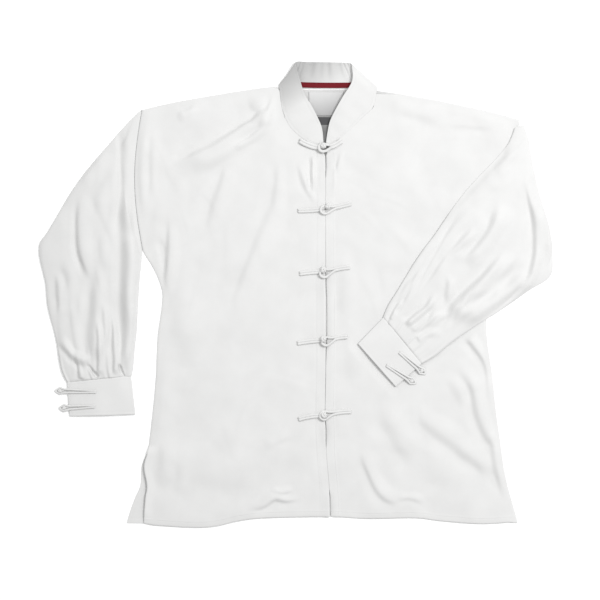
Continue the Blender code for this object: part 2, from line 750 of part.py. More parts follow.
def make_jacket():
    for piece in list(bpy.data.objects):
        bpy.data.objects.remove(piece, do_unlink=True)
    collection = bpy.data.collections.new(COLLECTION)
    bpy.context.scene.collection.children.link(collection)
    make_back()
    carriers = [make_front("right"), make_front("left"), make_collar()]
    make_neck_tape()
    make_flat("neck_label", LABEL, WHITE)
    make_flat("size_tab", TAB, DARK)
    front_ground = Ground(carriers)
    for number, frog in enumerate(FROGS, 1):
        make_front_frog(number, frog, front_ground)
    for side, frogs in CUFF_FROGS.items():
        make_sleeve(side)
        cuff_ground = Ground([make_cuff(side)])
        for number, frog in enumerate(frogs, 1):
            make_cuff_frog(side, number, frog, cuff_ground)


make_jacket()
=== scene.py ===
import math

import bmesh
import bpy
import numpy as np
from mathutils import Matrix, Vector


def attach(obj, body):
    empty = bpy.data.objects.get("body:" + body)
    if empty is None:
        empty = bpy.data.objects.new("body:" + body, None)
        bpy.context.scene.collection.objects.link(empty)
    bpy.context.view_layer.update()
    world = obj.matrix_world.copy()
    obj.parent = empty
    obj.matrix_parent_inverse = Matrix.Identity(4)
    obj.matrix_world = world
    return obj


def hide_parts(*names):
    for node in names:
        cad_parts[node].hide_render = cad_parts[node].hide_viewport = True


# A white cotton tai chi jacket laid out flat, its left sleeve folded over the front.
# Sizes in the dictionaries are millimetres: X to the wearer's left, Y from hem to collar, Z up.

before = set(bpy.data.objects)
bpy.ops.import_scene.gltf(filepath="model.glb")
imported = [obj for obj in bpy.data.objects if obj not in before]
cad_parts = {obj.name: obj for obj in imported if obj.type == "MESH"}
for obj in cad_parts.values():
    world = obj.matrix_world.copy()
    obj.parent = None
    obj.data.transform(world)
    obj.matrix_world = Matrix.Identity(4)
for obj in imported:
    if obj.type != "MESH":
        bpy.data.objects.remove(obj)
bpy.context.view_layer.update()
mm = 0.001

cloth = {
    "wall": 0.75,             # one layer of the body's cotton
    "bandWall": 1.5,          # collar and cuffs
    "step": 2.4,              # grid spacing in open cloth
    "foldScale": 1.05,        # on every crease height below
    "foldEase": 1.5,          # on every steep side
    "foldDip": 0.3,           # the share of its height that a fold dips by past its steep side
    "foldFade": (0.35, 0.35),  # the shares of its length over which a crease rises and fades
    "backTop": 0.95,          # the back panel's upper face
    "frontTop": 2.7,          # the fronts' upper face, on the back panel
    "sleeveBase": 3.0,        # the folded sleeve's underside, on the left front
    "meetRise": 0.9,          # the front swells up to the folded sleeve's inner edge by this
    "meetThin": 1.6,          # and the edge is thinner by this
    "meetFlat": 0.4,          # and its crown lower by this share
    "meetRun": 14.0,          # over this width
    "meetShares": (0.06, 0.52), "meetEase": (0.06, 0.12),  # where along the edge this begins and ends
    "edgeRound": 1.5,         # the rounded sides of sleeves and cuffs
    "seamDrop": 1.1,          # how far an edge rolls down into its seam
    "seamRoll": 4.0,          # over this width
    "seamLap": 0.9,           # how far a panel runs on under its neighbour's edge
    "hemDepth": 10.0,         # turned-up hem
    "hemRise": 0.6, "hemStep": (0.6, 1.6),
    "stitchInset": 1.4,       # from a turned edge to its stitches
    "stitchDent": 0.4, "stitchWidth": 1.1,
    "waver": ((0.14, 7, 1.9), (0.04, 17, 1)),  # how a crease's height and width vary along it
}


def smooth(t):
    t = np.clip(t, 0, 1)
    return t * t * (3 - 2 * t)


# A round bump, 1 in its middle and 0 from -1 and 1 on
def bell(t):
    return 0.5 + 0.5 * np.cos(math.pi * np.clip(t, -1, 1))


def wave(t, size, pace, shift=0):
    return size * np.sin(pace * t + shift)


# A dent with straight sides, 1 in its middle
def dent(far, width):
    return np.clip(1 - np.abs(far) / width, 0, 1)


def unit(vectors):
    return vectors / np.linalg.norm(vectors, axis=-1)[..., None]


# Plan points with their heights
def raised(plan, z):
    return np.concatenate([plan, np.broadcast_to(z, plan.shape[:-1])[..., None]], -1)


# How far the points of a panel lie from the matching ones on its edge
def awayFrom(edge, plan):
    return np.hypot(plan[..., 0] - edge[..., 0], plan[..., 1] - edge[..., 1])


# Catmull-Rom curve through rows of points, with t counting rows
def spline(rows, t):
    rows = np.asarray(rows, float)
    t = np.clip(np.asarray(t, float), 0, len(rows) - 1)
    i = np.minimum(t.astype(int), len(rows) - 2)
    f = (t - i)[..., None]
    a, b = rows[np.maximum(i - 1, 0)], rows[i]
    c, d = rows[i + 1], rows[np.minimum(i + 2, len(rows) - 1)]
    return 0.5 * (2 * b + (c - a) * f + (2 * a - 5 * b + 4 * c - d) * f * f + (3 * b - a - 3 * c + d) * f ** 3)


def splineLine(rows, steps=10):
    return spline(rows, np.linspace(0, len(rows) - 1, (len(rows) - 1) * steps + 1))


# How far along a polyline each of its points lies
def runLength(line):
    return np.concatenate([[0], np.cumsum(np.linalg.norm(np.diff(line, axis=0), axis=1))])


# Points at shares of a polyline's length
def pointAt(line, share):
    line = np.asarray(line, float)
    lengths = runLength(line)
    want = np.clip(share, 0, 1) * lengths[-1]
    return np.stack([np.interp(want, lengths, line[:, c]) for c in range(line.shape[1])], -1)


# Signed distance of points from a polyline, positive on its left, and how far along it they lie
def fromLine(line, x, y):
    best = np.full(x.shape, 1e9)
    side = np.zeros(x.shape)
    share = np.zeros(x.shape)
    lengths = np.linalg.norm(np.diff(line, axis=0), axis=1)
    before = 0.0
    for (ax, ay), (bx, by), length in zip(line[:-1], line[1:], lengths):
        dx, dy = (bx - ax) / length, (by - ay) / length
        t = (x - ax) * dx + (y - ay) * dy
        off = dx * (y - ay) - dy * (x - ax)
        clamped = np.clip(t, 0, length)
        far = np.hypot(x - ax - dx * clamped, y - ay - dy * clamped)
        closer = far < best
        best = np.where(closer, far, best)
        side = np.where(closer, np.sign(off), side)
        share = np.where(closer, before + t, share)
        before += length
    return best * side, share / before


# Creases. Each row has a path along the crest, the widths over which it falls away on its left (steep) and on its
# right (soft), its height and, where they aren't the usual ones, the shares of its length over which it rises and
# fades. A height below nought makes a groove along the path.
def creaseHeight(creases, x, y):
    lift = np.zeros(x.shape)
    for number, crease in enumerate(creases):
        path, steep, soft, height, head, tail = (*crease, *cloth["foldFade"])[:6]
        line = splineLine(path, 5)
        steep = steep * cloth["foldEase"]
        reach = steep + soft
        near = ((x > line[:, 0].min() - reach) & (x < line[:, 0].max() + reach)
                & (y > line[:, 1].min() - reach) & (y < line[:, 1].max() + reach))
        if not near.any():
            continue
        off, share = fromLine(line, x[near], y[near])
        waver = 1
        for size, pace, shift in cloth["waver"]:
            waver = waver + wave(share, size, pace, shift * number)
        steep, soft = steep * waver, soft * waver
        form = bell(np.where(off > 0, off / steep, off / soft))
        if height > 0:
            past = off - steep
            form = form - cloth["foldDip"] * bell(np.where(past > 0, past / (0.8 * soft), past / (0.8 * steep)))
        fade = smooth(share / head) * smooth((1 - share) / tail)
        lift[near] += height * waver * fade * form
    return lift * cloth["foldScale"]


# Slow swells of the lying cloth, from a few crossing waves
def swell(x, y, size, height, seed):
    maker = np.random.default_rng(seed)
    total = np.zeros(x.shape)
    for _ in range(7):
        angle = maker.uniform(0, math.pi)
        wave = size * maker.uniform(0.7, 1.6)
        phase = maker.uniform(0, 2 * math.pi)
        total += np.sin(2 * math.pi * (x * math.cos(angle) + y * math.sin(angle)) / wave + phase)
    return total / 7 * height


# Small creases that no two places share, laid mostly along one direction
def rumple(x, y, box, count, lengths, widths, heights, lean, spread, seed):
    maker = np.random.default_rng(seed)
    creases = []
    for _ in range(count):
        cx, cy = maker.uniform(box[0], box[1]), maker.uniform(box[2], box[3])
        angle = math.radians(maker.normal(lean, spread))
        half = maker.uniform(*lengths) / 2
        dx, dy = math.cos(angle) * half, math.sin(angle) * half
        bend = maker.normal(0, 0.12) * half
        width = maker.uniform(*widths)
        path = ((cx - dx, cy - dy), (cx - dy / half * bend, cy + dx / half * bend), (cx + dx, cy + dy))
        creases.append((path, width * 0.6, width * 1.4, maker.uniform(*heights), 0.5, 0.5))
    return creaseHeight(creases, x, y)


# A shader node's sockets get values, or links from other sockets
def setSockets(links, node, sockets):
    for key, value in sockets.items():
        if isinstance(value, bpy.types.NodeSocket):
            links.new(value, node.inputs[key])
        else:
            node.inputs[key].default_value = value
    return node


usualLook = {
    "roughness": 0.88, "sheen": 0.12, "specular": 0.25,
    "grain": 0, "pitch": 0.6,                          # the threads' direction in degrees, and their spacing
    "weaveBump": 0.16, "slub": 0.10, "crumple": 0.14,  # how much each shows
    "mottle": 26, "dip": 0.955, "threadTint": 0.05,
}
bumpDepth = {"weave": 0.12, "slub": 0.25, "crumple": 1.6}
clothNoises = (((1, 14, 1), 70, "slub"), ((11, 1, 1), 80, "slub"), ((1, 1, 1), 34, "crumple"))


# Plain-woven cotton: thread bumps at their real pitch, slubs, faint crumpling and mottled colour.
# "shade" paints shade into its colour: darker from one point towards another, standing in for the shade inside
# the neck and on the collar. "reach" says how far from its "centre" the painted shade stays full and where it ends.
def cottonMaterial(name, look):
    look = {**usualLook, **look}
    made = bpy.data.materials.new(name)
    made.use_nodes = True
    nodes, links = made.node_tree.nodes, made.node_tree.links

    def add(kind, sockets):
        return setSockets(links, nodes.new("ShaderNode" + kind), sockets)

    coords = nodes.new("ShaderNodeTexCoord").outputs["Object"]
    turned = add("Mapping", {"Vector": coords, "Rotation": (0, 0, math.radians(look["grain"]))}).outputs["Vector"]
    threads = []
    for axis in ("X", "Y"):
        wave = add("TexWave", {"Vector": turned, "Scale": 0.314 / (look["pitch"] * mm), "Distortion": 0.6,
                               "Detail": 1, "Detail Scale": 0.4})
        wave.bands_direction = axis
        threads.append(wave.outputs["Fac"])
    weave = add("Math", {0: threads[0], 1: threads[1]})
    weave.operation = "MULTIPLY"
    bumps = [(weave.outputs[0], look["weaveBump"], bumpDepth["weave"])]
    for stretch, scale, kind in clothNoises:
        stretched = add("Mapping", {"Vector": turned, "Scale": stretch}).outputs["Vector"]
        noise = add("TexNoise", {"Vector": stretched, "Scale": scale, "Detail": 3, "Roughness": 0.55})
        bumps.append((noise.outputs["Fac"], look[kind], bumpDepth[kind]))
    normal = None
    for height, strength, depth in bumps:
        bump = add("Bump", {"Height": height, "Strength": strength, "Distance": depth * mm})
        if normal:
            links.new(normal, bump.inputs["Normal"])
        normal = bump.outputs["Normal"]
    mottle = add("TexNoise", {"Vector": coords, "Scale": look["mottle"], "Detail": 4})
    ramp = add("ValToRGB", {"Fac": mottle.outputs["Fac"]})
    for stop, place, level in zip(ramp.color_ramp.elements, (0.3, 0.7), (look["dip"], 1)):
        stop.position = place
        stop.color = (*(np.array(look["colour"]) * level), 1)
    tinted = add("MixRGB", {"Fac": look["threadTint"], "Color1": ramp.outputs["Color"], "Color2": weave.outputs[0]})
    tinted.blend_type = "MULTIPLY"
    colour = tinted.outputs["Color"]
    # painted shade: the colour is multiplied darker along a direction, fading out with distance from a centre
    if "shade" in look:
        shade = look["shade"]
        start, end = Vector(shade["from"]) * mm, Vector(shade["to"]) * mm
        along = add("VectorMath", {0: coords, 1: end - start})
        along.operation = "DOT_PRODUCT"
        share = add("MapRange", {"Value": along.outputs["Value"], "From Min": start.dot(end - start),
                                 "From Max": end.dot(end - start)})
        fall = add("ValToRGB", {"Fac": share.outputs["Result"]})
        for place, level in shade["levels"]:
            fall.color_ramp.elements.new(place).color = (level, level, level, 1)
        fall.color_ramp.elements.remove(fall.color_ramp.elements[0])
        fall.color_ramp.elements.remove(fall.color_ramp.elements[-1])
        dim = add("MixRGB", {"Fac": 1, "Color1": colour, "Color2": fall.outputs["Color"]})
        dim.blend_type = "MULTIPLY"
        if "centre" in shade:
            near, far = shade["reach"]
            away = add("VectorMath", {0: coords, 1: Vector(shade["centre"]) * mm})
            away.operation = "DISTANCE"
            within = add("MapRange", {"Value": away.outputs["Value"], "From Min": far * mm, "From Max": near * mm})
            links.new(within.outputs["Result"], dim.inputs["Fac"])
        colour = dim.outputs["Color"]
    setSockets(links, nodes["Principled BSDF"], {
        "Base Color": colour, "Normal": normal, "Roughness": look["roughness"], "Sheen Weight": look["sheen"],
        "Sheen Roughness": 0.45, "Specular IOR Level": look["specular"]})
    return made


white = (0.745, 0.745, 0.74)
# Painted shade inside the neck's V, on the back panel and the label: darker down and to the right of the back neck,
# fading out past "reach" from its "centre"
neckPaintedShade = {"from": (36, 352, 0), "to": (88, 188, 0), "centre": (55, 300, 0), "reach": (62, 125),
             "levels": ((0.001, 0.93), (0.1, 0.8), (0.28, 0.52), (0.44, 0.26), (0.62, 0.26), (0.8, 1.0))}
# Painted shade on the collar band: darker towards the outer top of its left leaf
collarPaintedShade = {"from": (0, 232, 0), "to": (-75, 361, 0),
               "levels": ((0.001, 1.0), (0.5, 1.0), (0.64, 0.84), (0.84, 0.63))}
looks = {
    "body": {"colour": white},
    "inside": {"colour": white, "shade": neckPaintedShade},
    # Painted shade: the right sleeve's colour is darker than the body's white, standing in for the light falling off
    # towards that side
    "rightSleeve": {"colour": (0.725, 0.725, 0.72), "grain": -4},
    "leftSleeve": {"colour": white, "grain": -38},
    "band": {"colour": white, "pitch": 0.7, "crumple": 0.2},
    "collar": {"colour": white, "pitch": 0.7, "crumple": 0.2, "shade": collarPaintedShade},
    "cord": {"colour": white, "pitch": 0.5, "grain": 45, "weaveBump": 0.3, "crumple": 0.3, "sheen": 0.2},
    "thread": {"colour": white, "pitch": 0.3, "roughness": 0.6, "sheen": 0.3, "slub": 0.0, "crumple": 0.0},
    "tape": {"colour": (0.225, 0.012, 0.02), "pitch": 0.9, "grain": 45, "weaveBump": 0.5, "dip": 0.8,
             "threadTint": 0.25},
    "label": {"colour": (0.76, 0.76, 0.76), "pitch": 0.35, "roughness": 0.5, "specular": 0.5, "sheen": 0.05,
              "crumple": 0.05, "shade": neckPaintedShade},
    "tab": {"colour": (0.10, 0.10, 0.105), "pitch": 0.5, "roughness": 0.6, "dip": 0.7, "threadTint": 0.2},
}
finishes = {key: cottonMaterial(key + "Cotton", look) for key, look in looks.items()}
print("materials made")


# Mesh making

def toScene(name, data):
    made = bpy.data.objects.new(name, data)
    bpy.context.scene.collection.objects.link(made)
    return made


def addPiece(name, mesh, finish, replaces=()):
    mesh.materials.clear()
    mesh.materials.append(finishes[finish])
    piece = toScene(name, mesh)
    mesh.shade_smooth()
    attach(piece, "root")
    if replaces:
        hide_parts(*replaces)
    return piece


def toMesh(name, bm):
    mesh = bpy.data.meshes.new(name)
    bm.to_mesh(mesh)
    bm.free()
    return mesh


# A grid of cloth moved onto rows of points. Closed columns are joined into a tube.
def gridMesh(name, points, closed=False):
    rows, columns = points.shape[:2]
    bm = bmesh.new()
    bmesh.ops.create_grid(bm, x_segments=columns - 1, y_segments=rows - 1, size=1)
    for vert in bm.verts:
        i = round((vert.co.x + 1) / 2 * (columns - 1))
        j = round((vert.co.y + 1) / 2 * (rows - 1))
        vert.co = points[j, i] * mm
    if closed:
        bmesh.ops.remove_doubles(bm, verts=bm.verts, dist=1e-6)
        bmesh.ops.recalc_face_normals(bm, faces=bm.faces)
    return toMesh(name, bm)


def thicken(piece, wall, inwards=True):
    shell = piece.modifiers.new("wall", "SOLIDIFY")
    shell.thickness = wall * mm
    shell.offset = -1 if inwards else 1


# Rings of a flattened tube: the upper layer's points, rounded sides and a flat layer beneath, on its base
def tubeRings(plan, share, upper, inset, base, shape):
    angles = np.linspace(0, math.pi, shape["noseSteps"] + 2)[1:-1]

    def nose(column, sign):
        points = []
        for angle in angles[::sign]:
            spot = plan(share[:, [column]] + sign * inset * math.sin(angle))[:, 0]
            low = base(spot[:, 0], spot[:, 1])
            half = (upper[:, column, 2] - low) / 2
            points.append(raised(spot, low + half * (1 + math.cos(angle))))
        return np.stack(points, 1)

    under = np.broadcast_to(np.linspace(1, 0, shape["underPoints"]), (len(upper), shape["underPoints"]))
    flat = plan(inset + (1 - 2 * inset) * under)
    lower = raised(flat, base(flat[..., 0], flat[..., 1]))
    return np.concatenate([upper, nose(-1, 1), lower, nose(0, -1), upper[:, :1]], 1)


# A row of short stitches along points on the cloth, all in one mesh
def stitchRow(name, lines, normals=None, length=2.3, pitch=3.1, thread=0.42, finish="thread"):
    bm = bmesh.new()
    for number, line in enumerate(lines):
        count = max(int(runLength(line)[-1] / pitch), 1)
        middles, ahead = (pointAt(line, (np.arange(count) + part) / count) for part in (0.5, 0.62))
        for middle, onward in zip(middles, ahead):
            run = Vector(onward - middle).normalized()
            up = Vector((0, 0, 1)) if normals is None else Vector(normals[number])
            side = up.cross(run).normalized()
            turn = Matrix((run, side, run.cross(side))).transposed().to_4x4()
            size = Matrix.Diagonal((length / 2 * mm, thread / 2 * mm, thread / 2.4 * mm, 1))
            place = Matrix.Translation(Vector(middle) * mm) @ turn @ size
            bmesh.ops.create_icosphere(bm, subdivisions=1, radius=1, matrix=place)
    addPiece(name, toMesh(name, bm), finish)


# The body's outline

body = {
    "y": (-388, -345, -325, -291, -264, -194, -138, -70, -5, 18, 46, 77),
    "right": (-258, -255, -252, -257, -250, -242, -237, -234, -226, -230, -242, -260),
    "centre": (59, 58, 57, 54, 52, 50, 51, 52, 52, 51, 51, 51),
    "left": (377, 366, 360, 353, 349, 340, 334, 325, 325, 331, 343, 360),
    "hem": ((-258, -390), (-178, -395), (-135, -393), (-96, -384), (-50, -379), (59, -377), (121, -380),
            (203, -379), (246, -384), (317, -389), (377, -385)),
    "hemAtCentre": -377,
    # how far the fronts' centre edges gape at each level
    "gapeY": (-380, -362, -342, -330, -262, -246, -230, -214, -190, -168, -138, -126, -107, -87, -66, -42, -16, 25, 44,
              137, 196, 207, 217, 231, 240, 256),
    "gape": (1.4, 1.5, 1.2, 0.2, 0.14, 1.0, 1.7, 0.6, 0.3, 0.4, 0.4, 0.3, 0.6, 1.2, 1.4, 1.45, 1.4, 1.4, 0.3,
             0.12, 0.2, 0.8, 1.5, 1.5, 0.7, 1.0),
    "edgeLift": {"right": 2.2, "left": -1.3},  # the right centre edge stands up, the left one dips
    "edgeRun": {"right": 13.0, "left": 8.0},
    "openGape": 1.4,          # from here on the edges count as open
    "facing": 15.0,           # stitch line along each centre edge
    "slitY": (-388, -363, -311, -264), "slitShown": (29, 23, 8, 0),
    "slitTop": -256.0, "slitLift": 3.2,
    "backInset": 1.0, "backHemRise": 1.5,
}
armholes = {
    "right": {"top": (-261, 314), "under": (-260, 77), "bow": -13},
    "left": {"top": (381, 297), "under": (360, 77), "bow": 5},
}
shoulders = {
    "right": ((-261, 314), (-195, 329), (-54, 352), (-27, 352)),
    "left": ((381, 297), (326, 312), (203, 337), (137, 347)),
}
backNeck = ((-27, 352), (10, 349), (98, 348.5), (137, 347))

# The collar band from its right front end round the back: its seam and its top edge
collar = {
    "seam": ((44, 251, 2.6), (25, 258, 2.6), (6, 270, 2.6), (-12, 289, 2.6), (-23, 318, 2.6), (-27, 346, 2.8),
             (-27.5, 357, 3.2), (-16, 354, 1.4), (8, 351, 1.1), (53, 350, 1.1), (98, 350.5, 1.1), (126, 353, 1.4),
             (137.5, 354, 3.2), (137, 341, 2.8), (131, 318, 2.6), (112, 300, 2.6), (93, 281, 2.6), (72, 264, 2.6),
             (57, 252, 2.6)),
    "top": ((47.5, 258, 3.6), (45, 282, 5.5), (38, 300, 8), (28, 319, 10), (15, 341, 12), (7, 366, 13.5),
            (1, 389, 13), (2.5, 395.5, 8.5), (20, 395, 7), (53, 394.5, 8), (80, 394, 7), (92, 393, 8.5),
            (95, 387, 13), (95.5, 362, 13.5), (80, 336, 12), (67, 313, 10), (58, 294, 8), (54, 275, 5.5),
            (51.5, 258, 3.6)),
    "corner": {"right": 5, "left": 13}, "end": {"right": 0, "left": 18},
    "height": 44.0, "topstitch": 4.5, "puff": 0.35,
    "endRound": 0.08, "endThin": 0.05, "probe": 0.02,
    # ripples round the back of the neck, and the slower ones towards the front
    "backRows": (6.6, 11.4), "backEase": 1.2, "crinkles": 9, "crinkleRows": (7, 11), "crinkleHeight": 1.7,
    "crinkleShift": (1.2, 5), "crinkleFrom": 0.2, "crinkleUsual": 0.65, "crinkleVary": (0.35, 7.7),
    "frontRipple": (0.3, 6.1, 3),
    # dents and stitches along both lines of topstitching, which run in three lengths of rows
    "stitchDent": 0.22, "stitchWidth": 0.028, "stitchRows": ((0.1, 5.4), (12.6, 17.9), (6.4, 11.6)),
    "stitchPoints": 80, "stitchRise": 0.02,
    # rows of the grid from an end, then even ones, and its shares of the height
    "endGrid": (0, 0.01, 0.03, 0.08), "evenGrid": (0.2, 210),
    "footGrid": (0.006, 0.02, 0.05), "middleGrid": (0.2, 0.3, 0.4, 0.5, 0.6, 0.7, 0.8), "topGrid": (0.95, 0.98, 0.994),
    "stitchGrid": (-0.03, 0, 0.03),
}


def sideLine(side, inset=0.0, shown=False):
    t = np.linspace(0, len(body["y"]) - 1, 140)
    y = np.interp(t, np.arange(len(body["y"])), body["y"])
    x = spline(np.array(body[side], float)[:, None], t)[:, 0] - inset
    if shown:
        x = x - np.interp(y, body["slitY"], body["slitShown"])
    hole = armholes[side]
    t = np.linspace(0, 1, 60)
    hx = hole["under"][0] + (hole["top"][0] - hole["under"][0]) * t + hole["bow"] * np.sin(math.pi * t)
    hy = hole["under"][1] + (hole["top"][1] - hole["under"][1]) * t
    return np.stack([np.concatenate([x[:-1], hx]), np.concatenate([y[:-1], hy])], -1)


def centreX(y):
    return np.interp(y, body["y"], body["centre"])


def openingHalf(y):
    return np.interp(y, body["gapeY"], body["gape"]) / 2


# 1 where the fronts gape, near 0 where their edges meet
def openness(y):
    return np.clip(2 * openingHalf(y) / body["openGape"], 0.1, 1)


# The front's neck edge runs on a little under the collar's seam
def neckLine(side):
    t = np.linspace(collar["corner"][side], collar["end"][side], 50)
    seam, top = spline(collar["seam"], t)[:, :2], spline(collar["top"], t)[:, :2]
    return seam - unit(seam - top) * cloth["seamLap"]


def hemY(x):
    line = splineLine(body["hem"], 8)
    return np.interp(x, line[:, 0], line[:, 1])


# Spacing lines across a panel: set distances from both edges and even steps between them
def spacing(lengths, near, far, step):
    lengths = np.asarray(lengths, float)
    count = int(round((lengths.mean() - near[-1] - far[-1]) / step))
    share = np.linspace(0, 1, count + 1)[1:-1]
    middle = near[-1] + (lengths[:, None] - near[-1] - far[-1]) * share
    start = np.broadcast_to(near, (len(lengths), len(near)))
    end = lengths[:, None] - np.array(far)[::-1]
    return np.concatenate([start, middle, end], 1) / lengths[:, None]


# Points between four edges, blended from them. u and v are rows of shares across and up the panel.
def fillPanel(bottom, top, first, last, across, up, step):
    v = np.linspace(0, 1, 60)
    widths = np.linalg.norm(last(v) - first(v), axis=1)
    u = np.linspace(0, 1, 60)
    heights = np.linalg.norm(top(u) - bottom(u), axis=1)
    rough = spacing([heights.mean()], up[0], up[1], step)[0]
    uRows = spacing(np.interp(rough, v, widths), across[0], across[1], step)
    vColumns = spacing(np.interp(uRows[len(uRows) // 2], u, heights), up[0], up[1], step).T
    rows = min(len(uRows), len(vColumns))
    uu, vv = uRows[:rows], vColumns[:rows]
    ue, ve = uu[..., None], vv[..., None]
    sides = (1 - ue) * first(vv) + ue * last(vv)
    ends = (1 - ve) * bottom(uu) + ve * top(uu)
    low = (1 - ue) * bottom(np.array(0.0)) + ue * bottom(np.array(1.0))
    high = (1 - ue) * top(np.array(0.0)) + ue * top(np.array(1.0))
    return sides + ends - (1 - ve) * low - ve * high


# The sleeves' outlines, which the left front needs to stay flat under the folded sleeve
sleeves = {
    "right": {
        "outer": ((-261.5, 315), (-286, 291), (-315, 258), (-370, 191), (-418, 112), (-436, 79), (-425, 20),
                  (-421, -20), (-408, -72), (-399, -124), (-388, -150)),
        "inner": ((-260.5, 76), (-261, 66), (-262, 52), (-265, 22), (-267, -10), (-268, -32), (-270, -66),
                  (-273, -92), (-275, -117), (-277, -132), (-279, -138.5)),
        "bow": (13, 12, 8, 4, 0, 0, 0, 0, 0, 0, 0),
        "puff": (0, 2, 6, 9, 10, 9, 8, 8, 8, 6, 4),
    },
    "left": {
        "outer": ((387, 288), (396, 262), (402, 226), (414, 173), (431, 114), (437, 66), (432, 31), (396, 7),
                  (349, -26), (306, -52), (262, -83), (238, -103), (213, -118)),
        "inner": ((372, 284), (361, 257), (338, 229), (297, 186), (270, 152), (248, 120), (233, 98), (219, 80),
                  (201, 54), (186, 29), (172, 6), (157, -18), (148, -39)),
        "bow": (0,) * 13,
        "puff": (2, 4, 6, 8, 9, 9, 9, 8, 8, 7, 6, 5, 4),
    },
}
cuffs = {
    "right": {"outer": (-384, -206), "inner": (-272, -203), "level": 0.0},
    "left": {"outer": (170, -156), "inner": (105.5, -83), "level": 3.0},
}
coverLine = np.concatenate([
    splineLine(sleeves["left"]["outer"], 4), [cuffs["left"]["outer"], cuffs["left"]["inner"]],
    splineLine(sleeves["left"]["inner"], 4)[::-1], [sleeves["left"]["outer"][0]]])


# 1 on open cloth, falling to 0 towards and under the folded sleeve
def openCloth(x, y, clear=3.0, ease=16.0):
    off, _ = fromLine(coverLine, x, y)
    inside = np.zeros(x.shape, bool)
    for (ax, ay), (bx, by) in zip(coverLine[:-1], coverLine[1:]):
        if ay != by:
            crosses = (ay > y) != (by > y)
            inside ^= crosses & (x < ax + (y - ay) * (bx - ax) / (by - ay))
    return np.where(inside, 0.0, smooth((np.abs(off) - clear) / ease))


# 1 where the folded sleeve's inner edge lies close on the front, with hardly a shadow
def sleeveMeets(x, y):
    off, share = fromLine(splineLine(sleeves["left"]["inner"], 4), x, y)
    (begin, end), (rise, fade) = cloth["meetShares"], cloth["meetEase"]
    near = 1 - smooth(np.abs(off) / cloth["meetRun"])
    return near * smooth((share - begin) / rise) * smooth((end - share) / fade)


# Fronts and back

frontFolds = {
    "right": (
        (((-212, 219), (-152, 242), (-118, 262), (-88, 284), (-58, 302), (-30, 322)), 10, 32, 7.2, 0.3, 0.16),
        (((-256, 130), (-263, 190), (-262, 250), (-255, 300)), 6, 22, 2.6),
        (((-46, 284), (-58, 314), (-70, 344)), 16, 20, 5.0),
        (((-62, 278), (-50, 298), (-42, 318), (-36, 342)), 6, 11, 5.5),
        (((-178, 216), (-140, 232), (-104, 252), (-74, 268)), 9, 20, 3.4),
        (((-106, 248), (-74, 266), (-42, 290)), 5, 12, 4.0, 0.2),
        (((-146, 100), (-139, 128), (-128, 168), (-112, 224)), 9, 24, 3.0, 0.35, 0.2),
        (((-33, 128), (-30, 176), (-24, 232)), 8, 20, 2.2),
        (((-91, -40), (-95, -4), (-66, 68), (-42, 124), (-28, 168)), 11, 28, 3.2, 0.35, 0.2),
        (((-222, -12), (-215, 40), (-212, 84), (-213, 138)), 6, 18, 4.0),
        (((-238, 104), (-226, 72), (-222, 30)), 5, 10, -2.0),
        (((-240, 150), (-242, 220), (-236, 290)), 6, 12, 1.8),
        (((12, -344), (-16, -348), (-36, -344), (-58, -358), (-84, -362)), 5, 16, 4.0),
        (((-2, -330), (-22, -334), (-44, -330)), 4, 10, 2.4),
        (((-8, -232), (-34, -248), (-56, -258)), 8, 14, 1.6),
        (((-30, -286), (-90, -296), (-190, -290), (-246, -270)), 30, 44, 3.2),
        (((-224, -336), (-218, -290), (-222, -240)), 12, 22, 2.4),
        (((-200, -344), (-192, -310), (-196, -270)), 10, 18, 1.4),
        (((25, 168), (23, 203), (24, 232)), 3.4, 5, -4.6, 0.25, 0.2),
        (((35, 152), (23, 178), (13, 200), (6, 228)), 5, 9, 2.4),
        (((31, 174), (29, 203), (29.5, 238)), 3, 8, 3.8, 0.45, 0.12),
        (((39, 172), (37, 200), (38, 226)), 3, 4, -1.8),
        (((-178, -110), (-184, -40), (-176, 30)), 24, 40, 1.8),
        (((-204, 304), (-186, 308), (-166, 320)), 6, 14, 3.2),
        (((-212, 228), (-152, 250), (-118, 271), (-90, 292), (-60, 310), (-34, 327)), 8, 9, -3.4, 0.15, 0.2),
    ),
    "left": (
        (((180, -350), (160, -346), (145, -335), (131, -312), (120, -286), (114, -260)), 6.5, 20, 3.6, 0.25),
        (((218, -292), (190, -258), (168, -216), (152, -172)), 18, 30, 4.0),
        (((336, -310), (313, -282), (286, -259), (259, -237), (232, -218), (205, -199)), 13, 24, 4.0, 0.2, 0.2),
        (((368, -352), (357, -327), (349, -291), (343, -255), (327, -233), (313, -199), (303, -155), (279, -120)),
         10, 20, 5.2, 0.2, 0.2),
        (((336, -190), (326, -122), (306, -88), (286, -62)), 6, 16, 4.4, 0.35, 0.15),
        (((290, -330), (250, -290), (206, -262)), 26, 34, 3.0),
        (((258, -132), (276, -160), (290, -196)), 10, 14, 2.2),
        (((222, -352), (196, -344), (166, -346)), 5, 12, 1.8),
        (((108, -180), (104, -110), (112, -40)), 18, 26, 2.2),
        (((84, -60), (90, 10), (84, 70)), 12, 18, 2.0),
        (((262, 298), (220, 308), (158, 322)), 12, 22, 2.4),
        (((340, 276), (296, 280), (250, 280)), 9, 9, -1.8),
        (((140, 110), (166, 200), (190, 270)), 30, 40, 2.0),
        (((69, 204), (74, 222), (78, 246)), 4, 8, 2.4),
        (((64, 168), (66, 200), (63, 230)), 3, 6, 1.4),
        (((376, 292), (366, 268), (356, 252)), 4, 8, 2.6),
    ),
}
